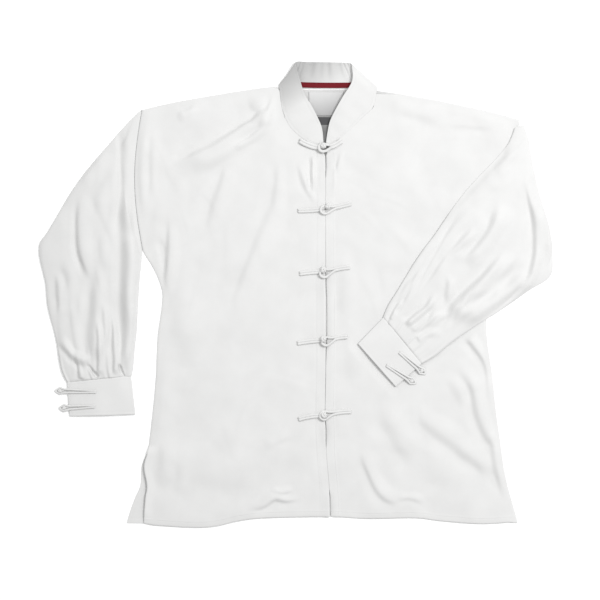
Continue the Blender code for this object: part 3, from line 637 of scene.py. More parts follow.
frontCloth = {
    "right": {"swell": {"size": 130, "height": 2.4, "seed": 3}, "box": (-260, 60, -380, 330), "lean": 84},
    "left": {"swell": {"size": 120, "height": 2.4, "seed": 5}, "box": (50, 370, -380, 330), "lean": 118},
    "ripple": {"size": 46, "height": 0.7, "seed": 17},
    "rumple": {"count": 60, "lengths": (60, 170), "widths": (8, 20), "heights": (0.2, 0.7), "spread": 26, "seed": 23},
    "highest": 13.0, "lowest": -0.9,
    # from where at an edge, from which share and over which width the cloth gets its relief back
    "centreCalm": (2, 0.35, 22), "hemCalm": (0, 0.3, 14),
    "seamCalm": (0.15, 16), "neckCalm": 38,            # the same at the seams, and how wide it is at the neck
    "topRoll": 1.8, "neckRoll": (3, 6), "neckKept": 0.8,
    "slitEase": 14, "slitWidth": 15, "slitHem": 24,    # the slit opens, and its edge stands up, within these
    "apart": 60,                                       # more than any of these widths, for edges that don't count
    "freeDrop": 0.9, "freeRound": 1.6,
    "hemEnds": 20, "neckTurn": 0.97,                   # where the hem and the centre edge run out into their corners
    # grid spacing in from each edge
    "outerGrid": (0, 0.4, 1.1, 2.2, 4, 7),
    "centreGrid": (0, 0.4, 1.1, 2.4, 4.6, 7.4, 10, 12, 13, 13.6, 14.2, 15.2, 16.6, 19),
    "hemGrid": (0, 0.4, 1.1, 2.4, 4.6, 7, 8, 8.6, 9.2, 10.2, 11.6, 14),
}
backCloth = {
    "hemEnds": 24,  # as on the fronts
    "sideGrid": (0, 0.5, 1.4, 3, 6, 10, 12), "edgeGrid": (0, 0.5, 1.4, 3, 6),
    "hemGrid": (0, 0.5, 1.4, 3, 7, 8, 8.6, 9.2, 10.2, 12),
    "coarser": 2.2,  # its grid in open cloth, beside the fronts'
    # puckers at the neck, and where they lie
    "pucker": 0.2, "puckerX": 4.1, "puckerY": 9.0, "neckX": (-10, 120), "neckY": 250, "neckEase": (20, 30),
    "stitchDent": 0.2,
    "clear": 0.25,  # under it, over the floor
}


# The fronts' upper face without its seams
def frontRelief(side, x, y):
    shape, own = frontCloth, frontCloth[side]
    lift = creaseHeight(frontFolds[side], x, y) + swell(x, y, **own["swell"]) + 0.5 * own["swell"]["height"]
    lift = lift + swell(x, y, **shape["ripple"]) + rumple(x, y, own["box"], lean=own["lean"], **shape["rumple"])
    return np.maximum(shape["highest"] * np.tanh(lift / shape["highest"]), shape["lowest"])


# What is kept of the relief at a distance from an edge
def calmed(far, calm):
    start, kept, run = calm
    return kept + (1 - kept) * smooth((far - start) / run)


def frontTop(side, x, y):
    x, y = np.asarray(x, float), np.asarray(y, float)
    centre = np.abs(x - centreX(y)) - openingHalf(y)
    hem = np.maximum(y - hemY(x), 0)
    lift = frontRelief(side, x, y) * calmed(centre, frontCloth["centreCalm"]) * calmed(hem, frontCloth["hemCalm"])
    lift = lift + body["edgeLift"][side] * smooth(1 - centre / body["edgeRun"][side]) * openness(y)
    if side == "left":
        lift = lift * openCloth(x, y) + cloth["meetRise"] * sleeveMeets(x, y)
    level = cloth["frontTop"] + lift
    start, run = cloth["hemStep"]
    for far, depth in ((hem, cloth["hemDepth"]), (centre, body["facing"])):
        level = level + cloth["hemRise"] * (1 - smooth((far - depth + start) / run))
        level = level - cloth["stitchDent"] * dent(far - depth + cloth["stitchInset"], cloth["stitchWidth"])
    return level


def makeFront(side):
    shape, outer, neck = frontCloth, sideLine(side), neckLine(side)
    shoulder = splineLine(list(shoulders[side][:-1]) + [tuple(neck[0])])
    corner = collar["seam"][collar["corner"][side]][0]
    hemOuter, hemInner = outer[0][0], centreX(body["hemAtCentre"])
    turn = (corner - hemOuter) / (hemInner - hemOuter)
    sign = -1 if side == "right" else 1

    def hem(u):
        x = hemOuter + (hemInner + sign * openingHalf(body["hemAtCentre"]) - hemOuter) * u
        ends = outer[0][1] - hemY(outer[0][0])
        return np.stack([x, hemY(x) + ends * np.clip(1 - u * shape["hemEnds"], 0, 1)], -1)

    def top(u):
        onShoulder = pointAt(shoulder, np.clip(u / turn, 0, 1))
        onNeck = pointAt(neck, np.clip((u - turn) / (1 - turn), 0, 1))
        return np.where((u < turn)[..., None], onShoulder, onNeck)

    def opening(v):
        low, high = hem(np.array(1.0)), neck[-1]
        y = low[1] + (high[1] - low[1]) * v
        x = centreX(y) + sign * openingHalf(y)
        return np.stack([x + (high[0] - x) * smooth((v - shape["neckTurn"]) / (1 - shape["neckTurn"])), y], -1)

    plan = fillPanel(hem, top, lambda v: pointAt(outer, v), opening, (shape["outerGrid"], shape["centreGrid"]),
                     (shape["hemGrid"], shape["outerGrid"]), cloth["step"])
    x, y = plan[..., 0], plan[..., 1]
    z = frontTop(side, x, y)
    # the edges that are sewn roll down to the back panel, and the free ones round off
    fromSide, fromCentre = awayFrom(plan[:, :1], plan), awayFrom(plan[:, -1:], plan)
    fromHem, fromTop = awayFrom(plan[:1], plan), awayFrom(plan[-1:], plan)
    fromNeck = np.abs(fromLine(neck, x, y)[0])
    slit = smooth((body["slitTop"] - y) / shape["slitEase"]) if side == "right" else np.zeros(x.shape)
    sewn = np.minimum(fromSide + shape["apart"] * slit, fromTop)
    kept, run = shape["seamCalm"]
    calm = kept + (1 - kept) * smooth(sewn / run) * smooth(fromNeck / shape["neckCalm"])
    z = cloth["frontTop"] + (z - cloth["frontTop"]) * calm
    start, run = shape["neckRoll"]
    atNeck = 1 - smooth((fromNeck - start) / run)
    roll = np.where(fromTop < fromSide, shape["topRoll"], cloth["seamRoll"])
    z = z - cloth["seamDrop"] * (1 - shape["neckKept"] * atNeck) * dent(sewn, roll) ** 2
    z = z + body["slitLift"] * slit * smooth(1 - fromSide / shape["slitWidth"]) * smooth(fromHem / shape["slitHem"])
    free = np.minimum(np.minimum(fromCentre, fromHem), fromSide + shape["apart"] * (1 - slit))
    drop = shape["freeDrop"] * np.where(fromCentre < fromHem, openness(y), 1)
    points = raised(plan, z - drop * dent(free, shape["freeRound"]) ** 2)
    name = "front" + side.capitalize()
    mesh = gridMesh(name, points[:, ::-1] if side == "left" else points)
    front = addPiece(name, mesh, "body", ("front_" + side,))
    thicken(front, cloth["wall"])
    return front


def makeBack():
    shape = backCloth
    first, last = sideLine("right", shown=True), sideLine("left", inset=body["backInset"])
    top = np.concatenate([splineLine(shoulders["right"]), splineLine(backNeck)[1:],
                          splineLine(shoulders["left"][::-1])[1:]])

    def hem(u):
        x = first[0][0] + (last[0][0] - first[0][0]) * u
        y = hemY(np.clip(x, body["hem"][0][0], body["hem"][-1][0])) + body["backHemRise"]
        ends = shape["hemEnds"]
        y = y + (first[0][1] - y) * np.clip(1 - u * ends, 0, 1) + (last[0][1] - y) * np.clip(u * ends - ends + 1, 0, 1)
        return np.stack([x, y], -1)

    plan = fillPanel(hem, lambda u: pointAt(top, u), lambda v: pointAt(first, v), lambda v: pointAt(last, v),
                     (shape["sideGrid"], shape["edgeGrid"]), (shape["hemGrid"], shape["edgeGrid"]),
                     cloth["step"] * shape["coarser"])
    x, y = plan[..., 0], plan[..., 1]
    fromHem = awayFrom(plan[:1], plan)
    (left, right), (easeX, easeY) = shape["neckX"], shape["neckEase"]
    inNeck = smooth((y - shape["neckY"]) / easeY) * smooth((x - left) / easeX) * smooth((right - x) / easeX)
    pucker = shape["pucker"] * (1 + np.sin(x / shape["puckerX"]) * np.sin(y / shape["puckerY"]))
    stitched = shape["stitchDent"] * dent(fromHem - cloth["hemDepth"] + cloth["stitchInset"], cloth["stitchWidth"])
    points = raised(plan, cloth["backTop"] + inNeck * pucker - stitched)
    back = addPiece("backPanel", gridMesh("backPanel", points), "inside", ("back",))
    thicken(back, cloth["backTop"] - shape["clear"])
    return back


back = makeBack()
fronts = {side: makeFront(side) for side in ("right", "left")}
print("body made")


def clothTop(x, y):
    right = np.asarray(x) < centreX(y)
    return np.where(right, frontTop("right", x, y), frontTop("left", x, y))


# Sleeves

sleeveFolds = {
    "right": (
        (((-349, 18), (-362, 44), (-372, 74), (-374, 120), (-371, 170)), 6, 8, -4.2, 0.3, 0.3),
        (((-340, 20), (-352, 48), (-361, 80), (-363, 120), (-360, 180)), 12, 26, 3.0),
        (((-292, -128), (-284, -98), (-280, -54), (-279, 6), (-276, 60), (-281, 110), (-284, 152)),
         14, 14, 9.0, 0.12, 0.3),
        (((-340, -114), (-334, -74), (-332, -6), (-330, 58)), 14, 18, 6.5, 0.15),
        (((-280, 96), (-280, 180), (-275, 288)), 14, 8, 9.0, 0.2, 0.2),
        (((-321, -92), (-319, -50), (-322, -6)), 6, 12, 4.5),
        (((-306, -137), (-304, -108), (-306, -66), (-309, -20)), 5, 9, 4.5, 0.1),
        (((-348, -116), (-362, -108), (-380, -98), (-400, -70)), 8, 11, 6.0, 0.2),
        (((-353, -117), (-345, -130), (-335, -141)), 3.5, 4, -6.5, 0.25, 0.1),
        (((-300, -116), (-297, -128), (-291, -140)), 3.2, 3.6, -5.0, 0.25, 0.1),
        (((-322, 36), (-326, 72), (-327, 108)), 8, 18, 1.8),
        (((-292, 244), (-281, 270), (-266, 306)), 6, 10, 3.2, 0.35, 0.2),
        (((-401, -40), (-398, -6), (-402, 40)), 6, 14, 3.2),
        (((-333, -136), (-331, -90), (-333, -40)), 4, 8, 3.2, 0.1),
        (((-384, -20), (-380, 20), (-388, 66)), 10, 16, 2.6),
        (((-368, 180), (-344, 214), (-318, 246)), 12, 18, 2.6),
        (((-330, 130), (-322, 170), (-306, 214)), 12, 18, 2.6),
        (((-364, -144), (-366, -124), (-372, -100)), 4, 7, 3.0, 0.1),
    ),
    "left": (
        (((257, -44), (280, -14), (308, 14), (335, 44), (366, 78)), 8.5, 28, 8.4, 0.2),
        (((286, 50), (306, 72), (324, 94), (339, 120), (354, 158)), 9, 26, 6.8, 0.25, 0.3),
        (((346, -30), (374, -6), (398, 26), (408, 62), (410, 98), (407, 130), (399, 162), (390, 200)),
         6, 15, 5.6, 0.15, 0.2),
        (((416, 176), (428, 120), (432, 74), (424, 44)), 3, 24, 9.0),
        (((280, -46), (296, -37), (339, -11), (372, 14), (402, 34)), 14, 17, 6.8, 0.2, 0.2),
        (((260, 66), (282, 88), (307, 114)), 6, 16, 3.8),
        (((257, -24), (261, 4), (261, 36)), 6, 14, 3.4),
        (((185, -52), (203, -38), (224, -20), (240, 4)), 5, 12, 4.8, 0.15),
        (((196, 2), (224, 50), (262, 118), (290, 158)), 3.6, 6, -1.8),
        (((206, 0), (232, 38), (262, 84)), 3.6, 6, -1.6),
        (((168, -34), (186, -4), (212, 36)), 3.6, 6, -1.8, 0.1),
        (((205, -76), (226, -66), (250, -62)), 6, 10, 2.2, 0.1),
        (((196, -62), (214, -50), (236, -38), (262, -30)), 6, 11, 2.4, 0.1),
        (((340, 190), (352, 214), (372, 250)), 10, 14, 2.6),
        (((300, 148), (320, 176), (350, 200)), 14, 16, 2.6),
        (((160, -42), (172, -22), (186, -6)), 3, 6, 2.6, 0.1),
    ),
}
sleeveShape = {
    "edge": 3.0, "crown": 0.5, "thinnest": 1.9, "soften": 0.5,
    "crest": 12, "slope": 18,                   # past the body's edge the folded sleeve sinks to the floor
    "gathers": 9, "gatherHeight": 2.0, "gatherRun": 0.2,
    "gatherShift": ((0.03, 11, 1), (0.02, 29, 0)), "gatherUsual": 0.75, "gatherVary": (0.35, 17, 2),
    "fullPuff": 4, "fullCrown": 3,              # where creases reach their height
    "seamLevel": 1.5, "seamShare": 0.6,
    "topPoints": 116, "noseSteps": 4, "underPoints": 28, "along": 2.2,
    "startRings": (0, 0.0008, 0.002, 0.004), "endRings": (0.996, 0.998, 0.9992, 1),
    "swell": {"size": 90, "height": 1.2, "seed": 41},
    "rumple": {"count": 50, "lengths": (70, 190), "widths": (8, 16), "heights": (0.3, 1.0), "spread": 9},
    "right": {"lean": 92, "seed": 31}, "left": {"lean": 52, "seed": 37},
    # fine pleats that fan out from the folded cuff
    "pleats": {"box": (166, 286, -64, 96), "count": 15, "lengths": (50, 100), "widths": (6, 9), "heights": (1.0, 2.0),
               "lean": 55, "spread": 6, "seed": 61},
}


# The right sleeve lies on the floor, and the folded one on the left front as far as that goes
def sleeveBase(side, x, y):
    if side == "right":
        return np.zeros(np.shape(x))
    line = sideLine("left")
    past = x - np.interp(y, line[:, 1], line[:, 0]) - sleeveShape["crest"]
    return cloth["sleeveBase"] * (1 - smooth(past / sleeveShape["slope"]))


def makeSleeve(side):
    shape, table = sleeveShape, sleeves[side]
    length = runLength((splineLine(table["outer"]) + splineLine(table["inner"])) / 2)[-1]
    # rings close up towards the seams
    t = np.linspace(0, 1, int(length / shape["along"]) + 1)[1:-1]
    t = np.unique(np.concatenate([shape["startRings"], t, shape["endRings"]]) * (len(table["outer"]) - 1))
    outer, inner = spline(table["outer"], t), spline(table["inner"], t)
    bow, puff = (spline(np.array(table[key], float)[:, None], t) for key in ("bow", "puff"))
    width = np.linalg.norm(inner - outer, axis=1)[:, None]
    outwards = np.stack([inner[:, 1] - outer[:, 1], outer[:, 0] - inner[:, 0]], -1) / width
    fromStart = runLength((outer + inner) / 2)[:, None]
    fromEnd = fromStart[-1] - fromStart

    def plan(share):
        base = outer[:, None] + (inner - outer)[:, None] * share[..., None]
        return base + outwards[:, None] * (bow * np.sin(math.pi * share))[..., None]

    def base(x, y):
        return sleeveBase(side, x, y)

    # the upper layer, its columns closer at both sides
    column = 0.5 - 0.5 * np.cos(math.pi * np.linspace(0, 1, shape["topPoints"]))
    inset = cloth["edgeRound"] / width
    share = inset + (1 - 2 * inset) * column
    top = plan(share)
    x, y = top[..., 0], top[..., 1]
    crown = np.sin(math.pi * share) ** shape["crown"]
    gathered = shape["gatherHeight"] * smooth(1 - fromEnd / (shape["gatherRun"] * length))
    uneven = share
    for row in shape["gatherShift"]:
        uneven = uneven + wave(share, *row)
    gather = gathered * (0.5 - 0.5 * np.cos(2 * math.pi * shape["gathers"] * uneven))
    gather = gather * (shape["gatherUsual"] + wave(share, *shape["gatherVary"]))
    box = (x.min(), x.max(), y.min(), y.max())
    relief = creaseHeight(sleeveFolds[side], x, y) + rumple(x, y, box, **shape["rumple"], **shape[side])
    relief = relief + swell(x, y, **shape["swell"]) + gather
    meets = 0
    if side == "left":
        relief = relief + rumple(x, y, **shape["pleats"])
        meets = sleeveMeets(x, y)
    rise = shape["edge"] - cloth["meetThin"] * meets + puff * crown * (1 - cloth["meetFlat"] * meets)
    relief = relief * np.clip(puff / shape["fullPuff"], 0, 1)
    rise = rise + relief * np.clip(crown * shape["fullCrown"], 0, 1)
    rise = shape["thinnest"] + np.logaddexp(0, (rise - shape["thinnest"]) / shape["soften"]) * shape["soften"]
    # both ends roll down into their seams
    roll = dent(np.minimum(fromStart, fromEnd), cloth["seamRoll"]) ** 2
    rise = rise - (rise - shape["seamLevel"]) * roll * shape["seamShare"]
    rings = tubeRings(plan, share, raised(top, base(x, y) + rise), inset, base, shape)
    name = "sleeve" + side.capitalize()
    mesh = gridMesh(name, rings, closed=True)
    sleeve = addPiece(name, mesh, side + "Sleeve", ("sleeve_" + side,))
    thicken(sleeve, cloth["wall"])
    return sleeve


sleevePieces = {side: makeSleeve(side) for side in ("right", "left")}
print("sleeves made")


# Cuffs

cuffShape = {
    "wall": 1.6, "edge": 4.2, "puff": 3.0, "crown": 0.7, "seam": -1.2,
    "topstitch": 4.0, "stitchDent": 0.4, "stitchWidth": 1.2, "stitchPoints": 30, "stitchRise": 0.05,
    "seamRoll": (0.8, 2.6), "edgeRoll": (0.5, 1.4),
    "topPoints": 46, "noseSteps": 6, "underPoints": 22,
    "startRings": (0, 0.008, 0.02, 0.045), "evenRings": (0.075, 0.925, 30), "endRings": (0.955, 0.98, 0.992, 1),
    "right": {"size": 46, "height": 0.7, "seed": 51}, "left": {"size": 46, "height": 0.7, "seed": 53},
}


# A cuff's outer and inner edge, each from its seam to its free end, then its width and depth
def cuffFrame(side):
    edges = []
    for edge in ("outer", "inner"):
        start, end = np.array(sleeves[side][edge][-1], float), np.array(cuffs[side][edge], float)
        edges.append((start + (end - start) / np.linalg.norm(end - start) * cuffShape["seam"], end))
    outer, inner = edges
    return outer, inner, np.linalg.norm(inner[0] - outer[0]), np.linalg.norm(outer[1] - outer[0])


def cuffTop(side, share, along, width, depth):
    shape = cuffShape
    x, y = share * width, along * depth
    rise = shape["edge"] + shape["puff"] * np.sin(math.pi * share) ** shape["crown"] + swell(x, y, **shape[side])
    for far in (y, depth - y, x, width - x):
        rise = rise - shape["stitchDent"] * dent(far - shape["topstitch"], shape["stitchWidth"])
    for far, (drop, run) in ((y, shape["seamRoll"]), (depth - y, shape["edgeRoll"])):
        rise = rise - drop * dent(far, run) ** 2
    return rise


def makeCuff(side):
    shape, level = cuffShape, cuffs[side]["level"]
    (outerStart, outerEnd), (innerStart, innerEnd), width, depth = cuffFrame(side)

    def spot(share, along):
        outer = outerStart + (outerEnd - outerStart) * along[..., None]
        inner = innerStart + (innerEnd - innerStart) * along[..., None]
        return outer + (inner - outer) * share[..., None]

    def base(x, y):
        return np.full(x.shape, level)

    rows = np.concatenate([shape["startRings"], np.linspace(*shape["evenRings"]), shape["endRings"]])[:, None]
    inset = cloth["edgeRound"] / width
    share = np.broadcast_to(np.linspace(0, 1, shape["topPoints"]), (len(rows), shape["topPoints"]))
    share = inset + (1 - 2 * inset) * share
    upper = raised(spot(share, rows), level + cuffTop(side, share, rows, width, depth))
    rings = tubeRings(lambda across: spot(across, rows), share, upper, inset, base, shape)
    name = "cuff" + side.capitalize()
    piece = addPiece(name, gridMesh(name, rings, closed=True), "band", ("cuff_" + side,))
    thicken(piece, shape["wall"])
    # topstitching round the upper layer, inside all four edges
    inX, inY = shape["topstitch"] / width, shape["topstitch"] / depth
    steps = np.linspace(0, 1, shape["stitchPoints"])
    stitches = []
    for start, end in (((inX, inY), (1 - inX, inY)), ((inX, 1 - inY), (1 - inX, 1 - inY)),
                       ((inX, inY), (inX, 1 - inY)), ((1 - inX, inY), (1 - inX, 1 - inY))):
        share, along = (low + (high - low) * steps for low, high in zip(start, end))
        top = level + cuffTop(side, share, along, width, depth) + shape["stitchRise"]
        stitches.append(raised(spot(share, along), top))
    stitchRow(name + "Stitches", stitches)
    return piece


cuffPieces = {side: makeCuff(side) for side in ("right", "left")}
print("cuffs made")


# Collar, tape, label and tab

def collarMiddle(row, share):
    seam, top = spline(collar["seam"], row), spline(collar["top"], row)
    return seam + (top - seam) * share[..., None]


# A point in the middle of the band's thickness, and which way its outer face looks
def collarFrame(row, share):
    small = collar["probe"]
    run = collarMiddle(row + small, share) - collarMiddle(row - small, share)
    rise = collarMiddle(row, share + small) - collarMiddle(row, share - small)
    return collarMiddle(row, share), unit(np.cross(run, rise))


def makeCollar():
    shape, last = collar, len(collar["seam"]) - 1
    low = shape["topstitch"] / shape["height"]
    high = 1 - low
    start, count = shape["evenGrid"]
    ends, stitched = np.array(shape["endGrid"]), np.array(shape["stitchGrid"])
    rows = np.concatenate([ends, np.linspace(start, last - start, count), last - ends[::-1]])
    share = np.concatenate([shape["footGrid"], low + stitched, shape["middleGrid"], high + stitched, shape["topGrid"]])
    row, part = np.meshgrid(rows, share, indexing="ij")
    inside = np.clip(rows, shape["probe"], last - shape["probe"])
    middle, out = collarFrame(inside[:, None], part)
    half = cloth["bandWall"] / 2 + shape["puff"] * np.sin(math.pi * part)
    for line in (low, high):
        half = half - shape["stitchDent"] * dent(part - line, shape["stitchWidth"])
    # both ends are rounded
    fromEnd = np.clip(np.minimum(row, last - row) / shape["endRound"], 0, 1)
    half = half * np.clip(np.sqrt(1 - (1 - fromEnd) ** 2), shape["endThin"], 1)
    first, final = shape["backRows"]
    atBack = smooth((row - first) / shape["backEase"]) * smooth((final - row) / shape["backEase"])
    first, final = shape["crinkleRows"]
    phase = (row - first) / (final - first) * 2 * math.pi * shape["crinkles"] + wave(row, *shape["crinkleShift"])
    crinkle = shape["crinkleHeight"] * np.sin(phase) * smooth((part - shape["crinkleFrom"]) * 2)
    crinkle = crinkle * (shape["crinkleUsual"] + wave(row, *shape["crinkleVary"]))
    size, pace, slant = shape["frontRipple"]
    crinkle = crinkle * atBack + wave(row, size, pace, part * slant) * np.sin(math.pi * part) * (1 - atBack)
    outer = middle + out * (half + crinkle)[..., None]
    inner = middle + out * (crinkle - half)[..., None]
    foot, cap = (collarMiddle(inside, np.full(len(rows), end))[:, None] for end in (0.0, 1.0))
    mesh = gridMesh("collarBand", np.concatenate([outer, cap, inner[:, ::-1], foot, outer[:, :1]], 1), closed=True)
    piece = addPiece("collarBand", mesh, "collar", ("collar",))
    lines, normals = [], []
    for at in (low, high):
        for start, end in shape["stitchRows"]:
            count = shape["stitchPoints"]
            spot, facing = collarFrame(np.linspace(start, end, count), np.full(count, at))
            up = facing * np.sign(facing[:, 2:])
            lines.append(spot + up * (cloth["bandWall"] / 2 + shape["stitchRise"]))
            normals.append(up.mean(0))
    stitchRow("collarStitches", lines, normals)
    return piece


collarPiece = makeCollar()

neckTape = {
    "rows": (7.35, 10.65), "shares": (0.03, 0.235), "rise": 0.55, "thickness": 0.5,
    "stitches": (0.16, 0.84), "stitchDent": 0.12, "stitchWidth": 0.05, "wave": (0.12, 9),
    "along": 90, "across": (0, 0.04, 0.12, 0.16, 0.2, 0.35, 0.5, 0.65, 0.8, 0.84, 0.88, 0.96, 1),
}


def makeTape():
    shape = neckTape
    rows = np.linspace(*shape["rows"], shape["along"])
    low, high = shape["shares"]
    lift = cloth["bandWall"] / 2 + shape["rise"]
    row, local = np.meshgrid(rows, shape["across"], indexing="ij")
    spot, out = collarFrame(row, low + (high - low) * local)
    dented = dent(np.minimum(local, 1 - local) - shape["stitches"][0], shape["stitchWidth"])
    rise = lift + wave(row, *shape["wave"]) - shape["stitchDent"] * dented
    mesh = gridMesh("neckTape", spot + out * np.sign(out[..., 2:]) * rise[..., None])
    tape = addPiece("neckTape", mesh, "tape", ("neck_tape",))
    thicken(tape, shape["thickness"], inwards=False)
    lines = []
    for at in shape["stitches"]:
        spot, out = collarFrame(rows, np.full(len(rows), low + (high - low) * at))
        lines.append(spot + out * np.sign(out[:, 2:]) * (lift + shape["thickness"]))
    stitchRow("tapeStitches", lines, finish="tape")
    return tape


tape = makeTape()

labels = {
    "neckLabel": {"x": (22, 82), "y": (304, 345), "curl": 0.7, "node": "neck_label", "slot": "label_satin",
                  "finish": "label", "thread": "thread"},
    "sizeTab": {"x": (38, 62), "y": (289, 302), "curl": 0.3, "node": "size_tab", "slot": "dark_tab",
                "finish": "tab", "thread": "tab"},
}
labelCloth = {
    "over": 0.75, "thickness": 0.4, "curlVary": (0.6, 0.4, 2.2, 0.4), "edgeDrop": (0.2, 0.03), "grid": (40, 30),
    "stitches": (0.035, 0.965), "stitchRun": (0.03, 0.97, 20), "stitchRise": 0.05,
}


def labelPoints(shape, u, v):
    (left, right), (low, high) = shape["x"], shape["y"]
    usual, size, pace, shift = labelCloth["curlVary"]
    drop, run = labelCloth["edgeDrop"]
    edge = np.minimum(np.minimum(u, 1 - u), np.minimum(v, 1 - v))
    bend = shape["curl"] * np.sin(math.pi * u) * (usual + size * np.cos(pace * v + shift))
    z = cloth["backTop"] + labelCloth["over"] + bend - drop * dent(edge, run) ** 2
    return np.stack([left + (right - left) * u, low + (high - low) * v, z], -1)


for name, shape in labels.items():
    u, v = (np.linspace(0, 1, count) for count in labelCloth["grid"])
    mesh = gridMesh(name, labelPoints(shape, *np.meshgrid(u, v)))
    thicken(addPiece(name, mesh, shape["finish"], (shape["node"],)), labelCloth["thickness"])
    v = np.linspace(*labelCloth["stitchRun"])
    lines = [labelPoints(shape, np.full(len(v), edge), v) + (0, 0, labelCloth["stitchRise"])
             for edge in labelCloth["stitches"]]
    stitchRow(name + "Stitches", lines, length=1.6, pitch=2.2, thread=0.34, finish=shape["thread"])
print("collar and labels made")


# Cord closures

frogs = {
    "knots": ((48, 249), (51, 146), (50, 39), (52, -77), (50, -205)),
    "rightEnds": ((7, 262), (4, 143), (7, 36), (3, -82), (5, -211)),
    "leftEnds": ((78, 262), (94, 155), (92, 47), (88, -71), (94, -198)),
    "sags": (-3, -1, 1, 1, 2),
    # how far each ball sits from its knot's place above, and the middle of the loop round it
    "ballShifts": ((-1, 4), (4, 4.5), (-3, 3.5), (-5, 2), (-2, 1)),
    "loopShifts": ((-1, 1), (-1, -1.5), (-1, -2.5), (0, -2), (-1, 0)),
    "cord": 2.1, "lane": 1.85, "ball": 5.5, "ring": 7.0, "climb": 2.6, "ballRise": 0.6, "pass": 1.7,
    "fat": (1.2, 1.0, 1.0, 1.0, 1.0),  # the top closure is the fullest
    # points along each arm: shares of its length, then distances from the knot. Beside them how far apart its two
    # cords lie, in lane widths and at the knot in millimetres, and how far they lift off the cloth.
    "armShares": (0.8, 0.6, 0.42), "armNear": (12, 8.5, 5.5, 3.0),
    "armLanes": (0.9, 1, 1, 1, 1, 0.9, 0.7), "armApart": (1.0, 0.8),
    "armLifts": (-0.3, 0, 0, 0, 0, 0, 0.3, 1.4, 3.0),
    "loopShares": (0.78, 0.55, 0.4), "loopNear": 4.5, "loopLanes": (0.8, 1, 1, 1, 1.05), "loopApart": 2.9,
    "loopLifts": (-0.3, 0, 0, 0, 0, 0.3), "eyeLift": 0.8, "eyeForm": (1.08, 0.96), "eyeAngles": (50, 312, 18),
    "tacks": 5, "tackHalf": 0.7, "tackRise": 1.35, "tackFrom": 3, "tackTo": 0.45,
    "turn": 25,                            # degrees from one ball to the next
    "seatAt": -4.0,                        # the cloth's level under a ball is read this far to its side
    "shiftRun": (14, 11), "slackRun": 12,  # the arms and loops shift over these distances
    "climbForm": (0.2, 1.1),
}
cuffFrogs = {
    "right": {"ends": ((-338, -164), (-340, -189)), "knots": ((-400, -163), (-393, -192))},
    "left": {"ends": ((154, -119), (176, -97)), "knots": ((197, -146), (214, -129))},
    "cord": 1.7, "ball": 3.5, "ring": 5.0, "tip": 1.5, "endLane": 1.3, "edgeLane": 3.0,
    "loopShares": (0.75, 0.5, 0.34), "loopNear": 4.0, "eyeAngles": (54, 308, 18), "tipNarrow": 0.4,
    "ballRise": 0.6, "pass": 1.3, "stem": 1.5, "stemAway": (12.0, 8.5, 5.0, 3.0), "stemLevels": (2.2, 2.4, 3.2, 4.0),
    "pastRun": 14, "pastDrop": 0.75,  # past the cuff's edge its loops sink towards the floor
    "edges": (0.012, 0.02), "turn": 40,
}
cordShape = {
    "flat": 0.92, "sides": 12, "wave": (0.04, 60),
    "end": 2.5,                                             # from a cord's end to where it is full
    "endPoints": 3, "endFirst": 0.15, "endThinnest": 0.02,  # how its end is drawn in
    "probe": 1.2,                                           # it rests on the highest cloth within this
}
ballShape = {"points": 181, "latitude": 56, "waves": 4, "turns": 3, "vary": (0.5, 8), "tilt": 62, "sides": 10}


# Rings round a path, each with its top towards "up" and this much flatter
def ringsRound(path, run, up, radius, sides, flat=1.0):
    side = unit(np.cross(run, up))
    up = np.cross(side, run)
    angle = np.linspace(0, 2 * math.pi, sides + 1)[None, :, None]
    radius = np.broadcast_to(radius, len(path))[:, None, None]
    rings = path[:, None] + side[:, None] * np.cos(angle) * radius + up[:, None] * np.sin(angle) * radius * flat
    rings[:, -1] = rings[:, 0]
    return rings


# A round cord along points, its ends drawn in
def cordMesh(name, points, radius):
    points = splineLine(points, 4)
    count = np.arange(len(points))
    fromEnd = np.minimum(count, count[::-1])
    shape, (size, most) = cordShape, cordShape["wave"]
    drawn = 1 - np.clip((fromEnd + shape["endFirst"]) / shape["endPoints"], 0, 1)
    fat = radius * np.sqrt(np.clip(1 - drawn ** 2, shape["endThinnest"], 1))
    fat = fat * (1 + size * np.sin(np.linspace(0, most, len(points))))
    upwards = np.broadcast_to((0.0, 0.0, 1.0), points.shape)
    rings = ringsRound(points, unit(np.gradient(points, axis=0)), upwards, fat, shape["sides"], shape["flat"])
    return gridMesh(name, rings, closed=True)


# A ball of crossing cord passes round a core: the button of a cord closure
def ballMeshes(centre, radius, cord, turn):
    shape = ballShape
    t = np.linspace(0, 2 * math.pi, shape["points"])
    latitude, around = math.radians(shape["latitude"]) * np.cos(shape["waves"] * t), shape["turns"] * t
    path = np.stack([np.cos(latitude) * np.cos(around), np.cos(latitude) * np.sin(around), np.sin(latitude)], -1)
    path = path * (radius - cord + wave(t, *shape["vary"]))[:, None]
    tilt = Matrix.Rotation(math.radians(shape["tilt"]), 3, "Y")
    path = path @ np.array(Matrix.Rotation(turn, 3, "Z") @ tilt).T
    run = np.gradient(path, axis=0)
    run[0] = run[-1] = path[1] - path[-2]
    rings = ringsRound(path, unit(run), path, cord, shape["sides"]) + centre
    rings[-1] = rings[0]
    bm = bmesh.new()
    bmesh.ops.create_icosphere(bm, subdivisions=3, radius=(radius - cord) * mm,
                               matrix=Matrix.Translation(Vector(centre) * mm))
    return [gridMesh("passes", rings, closed=True), toMesh("core", bm)]


def joinMeshes(name, meshes):
    bm = bmesh.new()
    for mesh in meshes:
        bm.from_mesh(mesh)
        bpy.data.meshes.remove(mesh)
    return toMesh(name, bm)


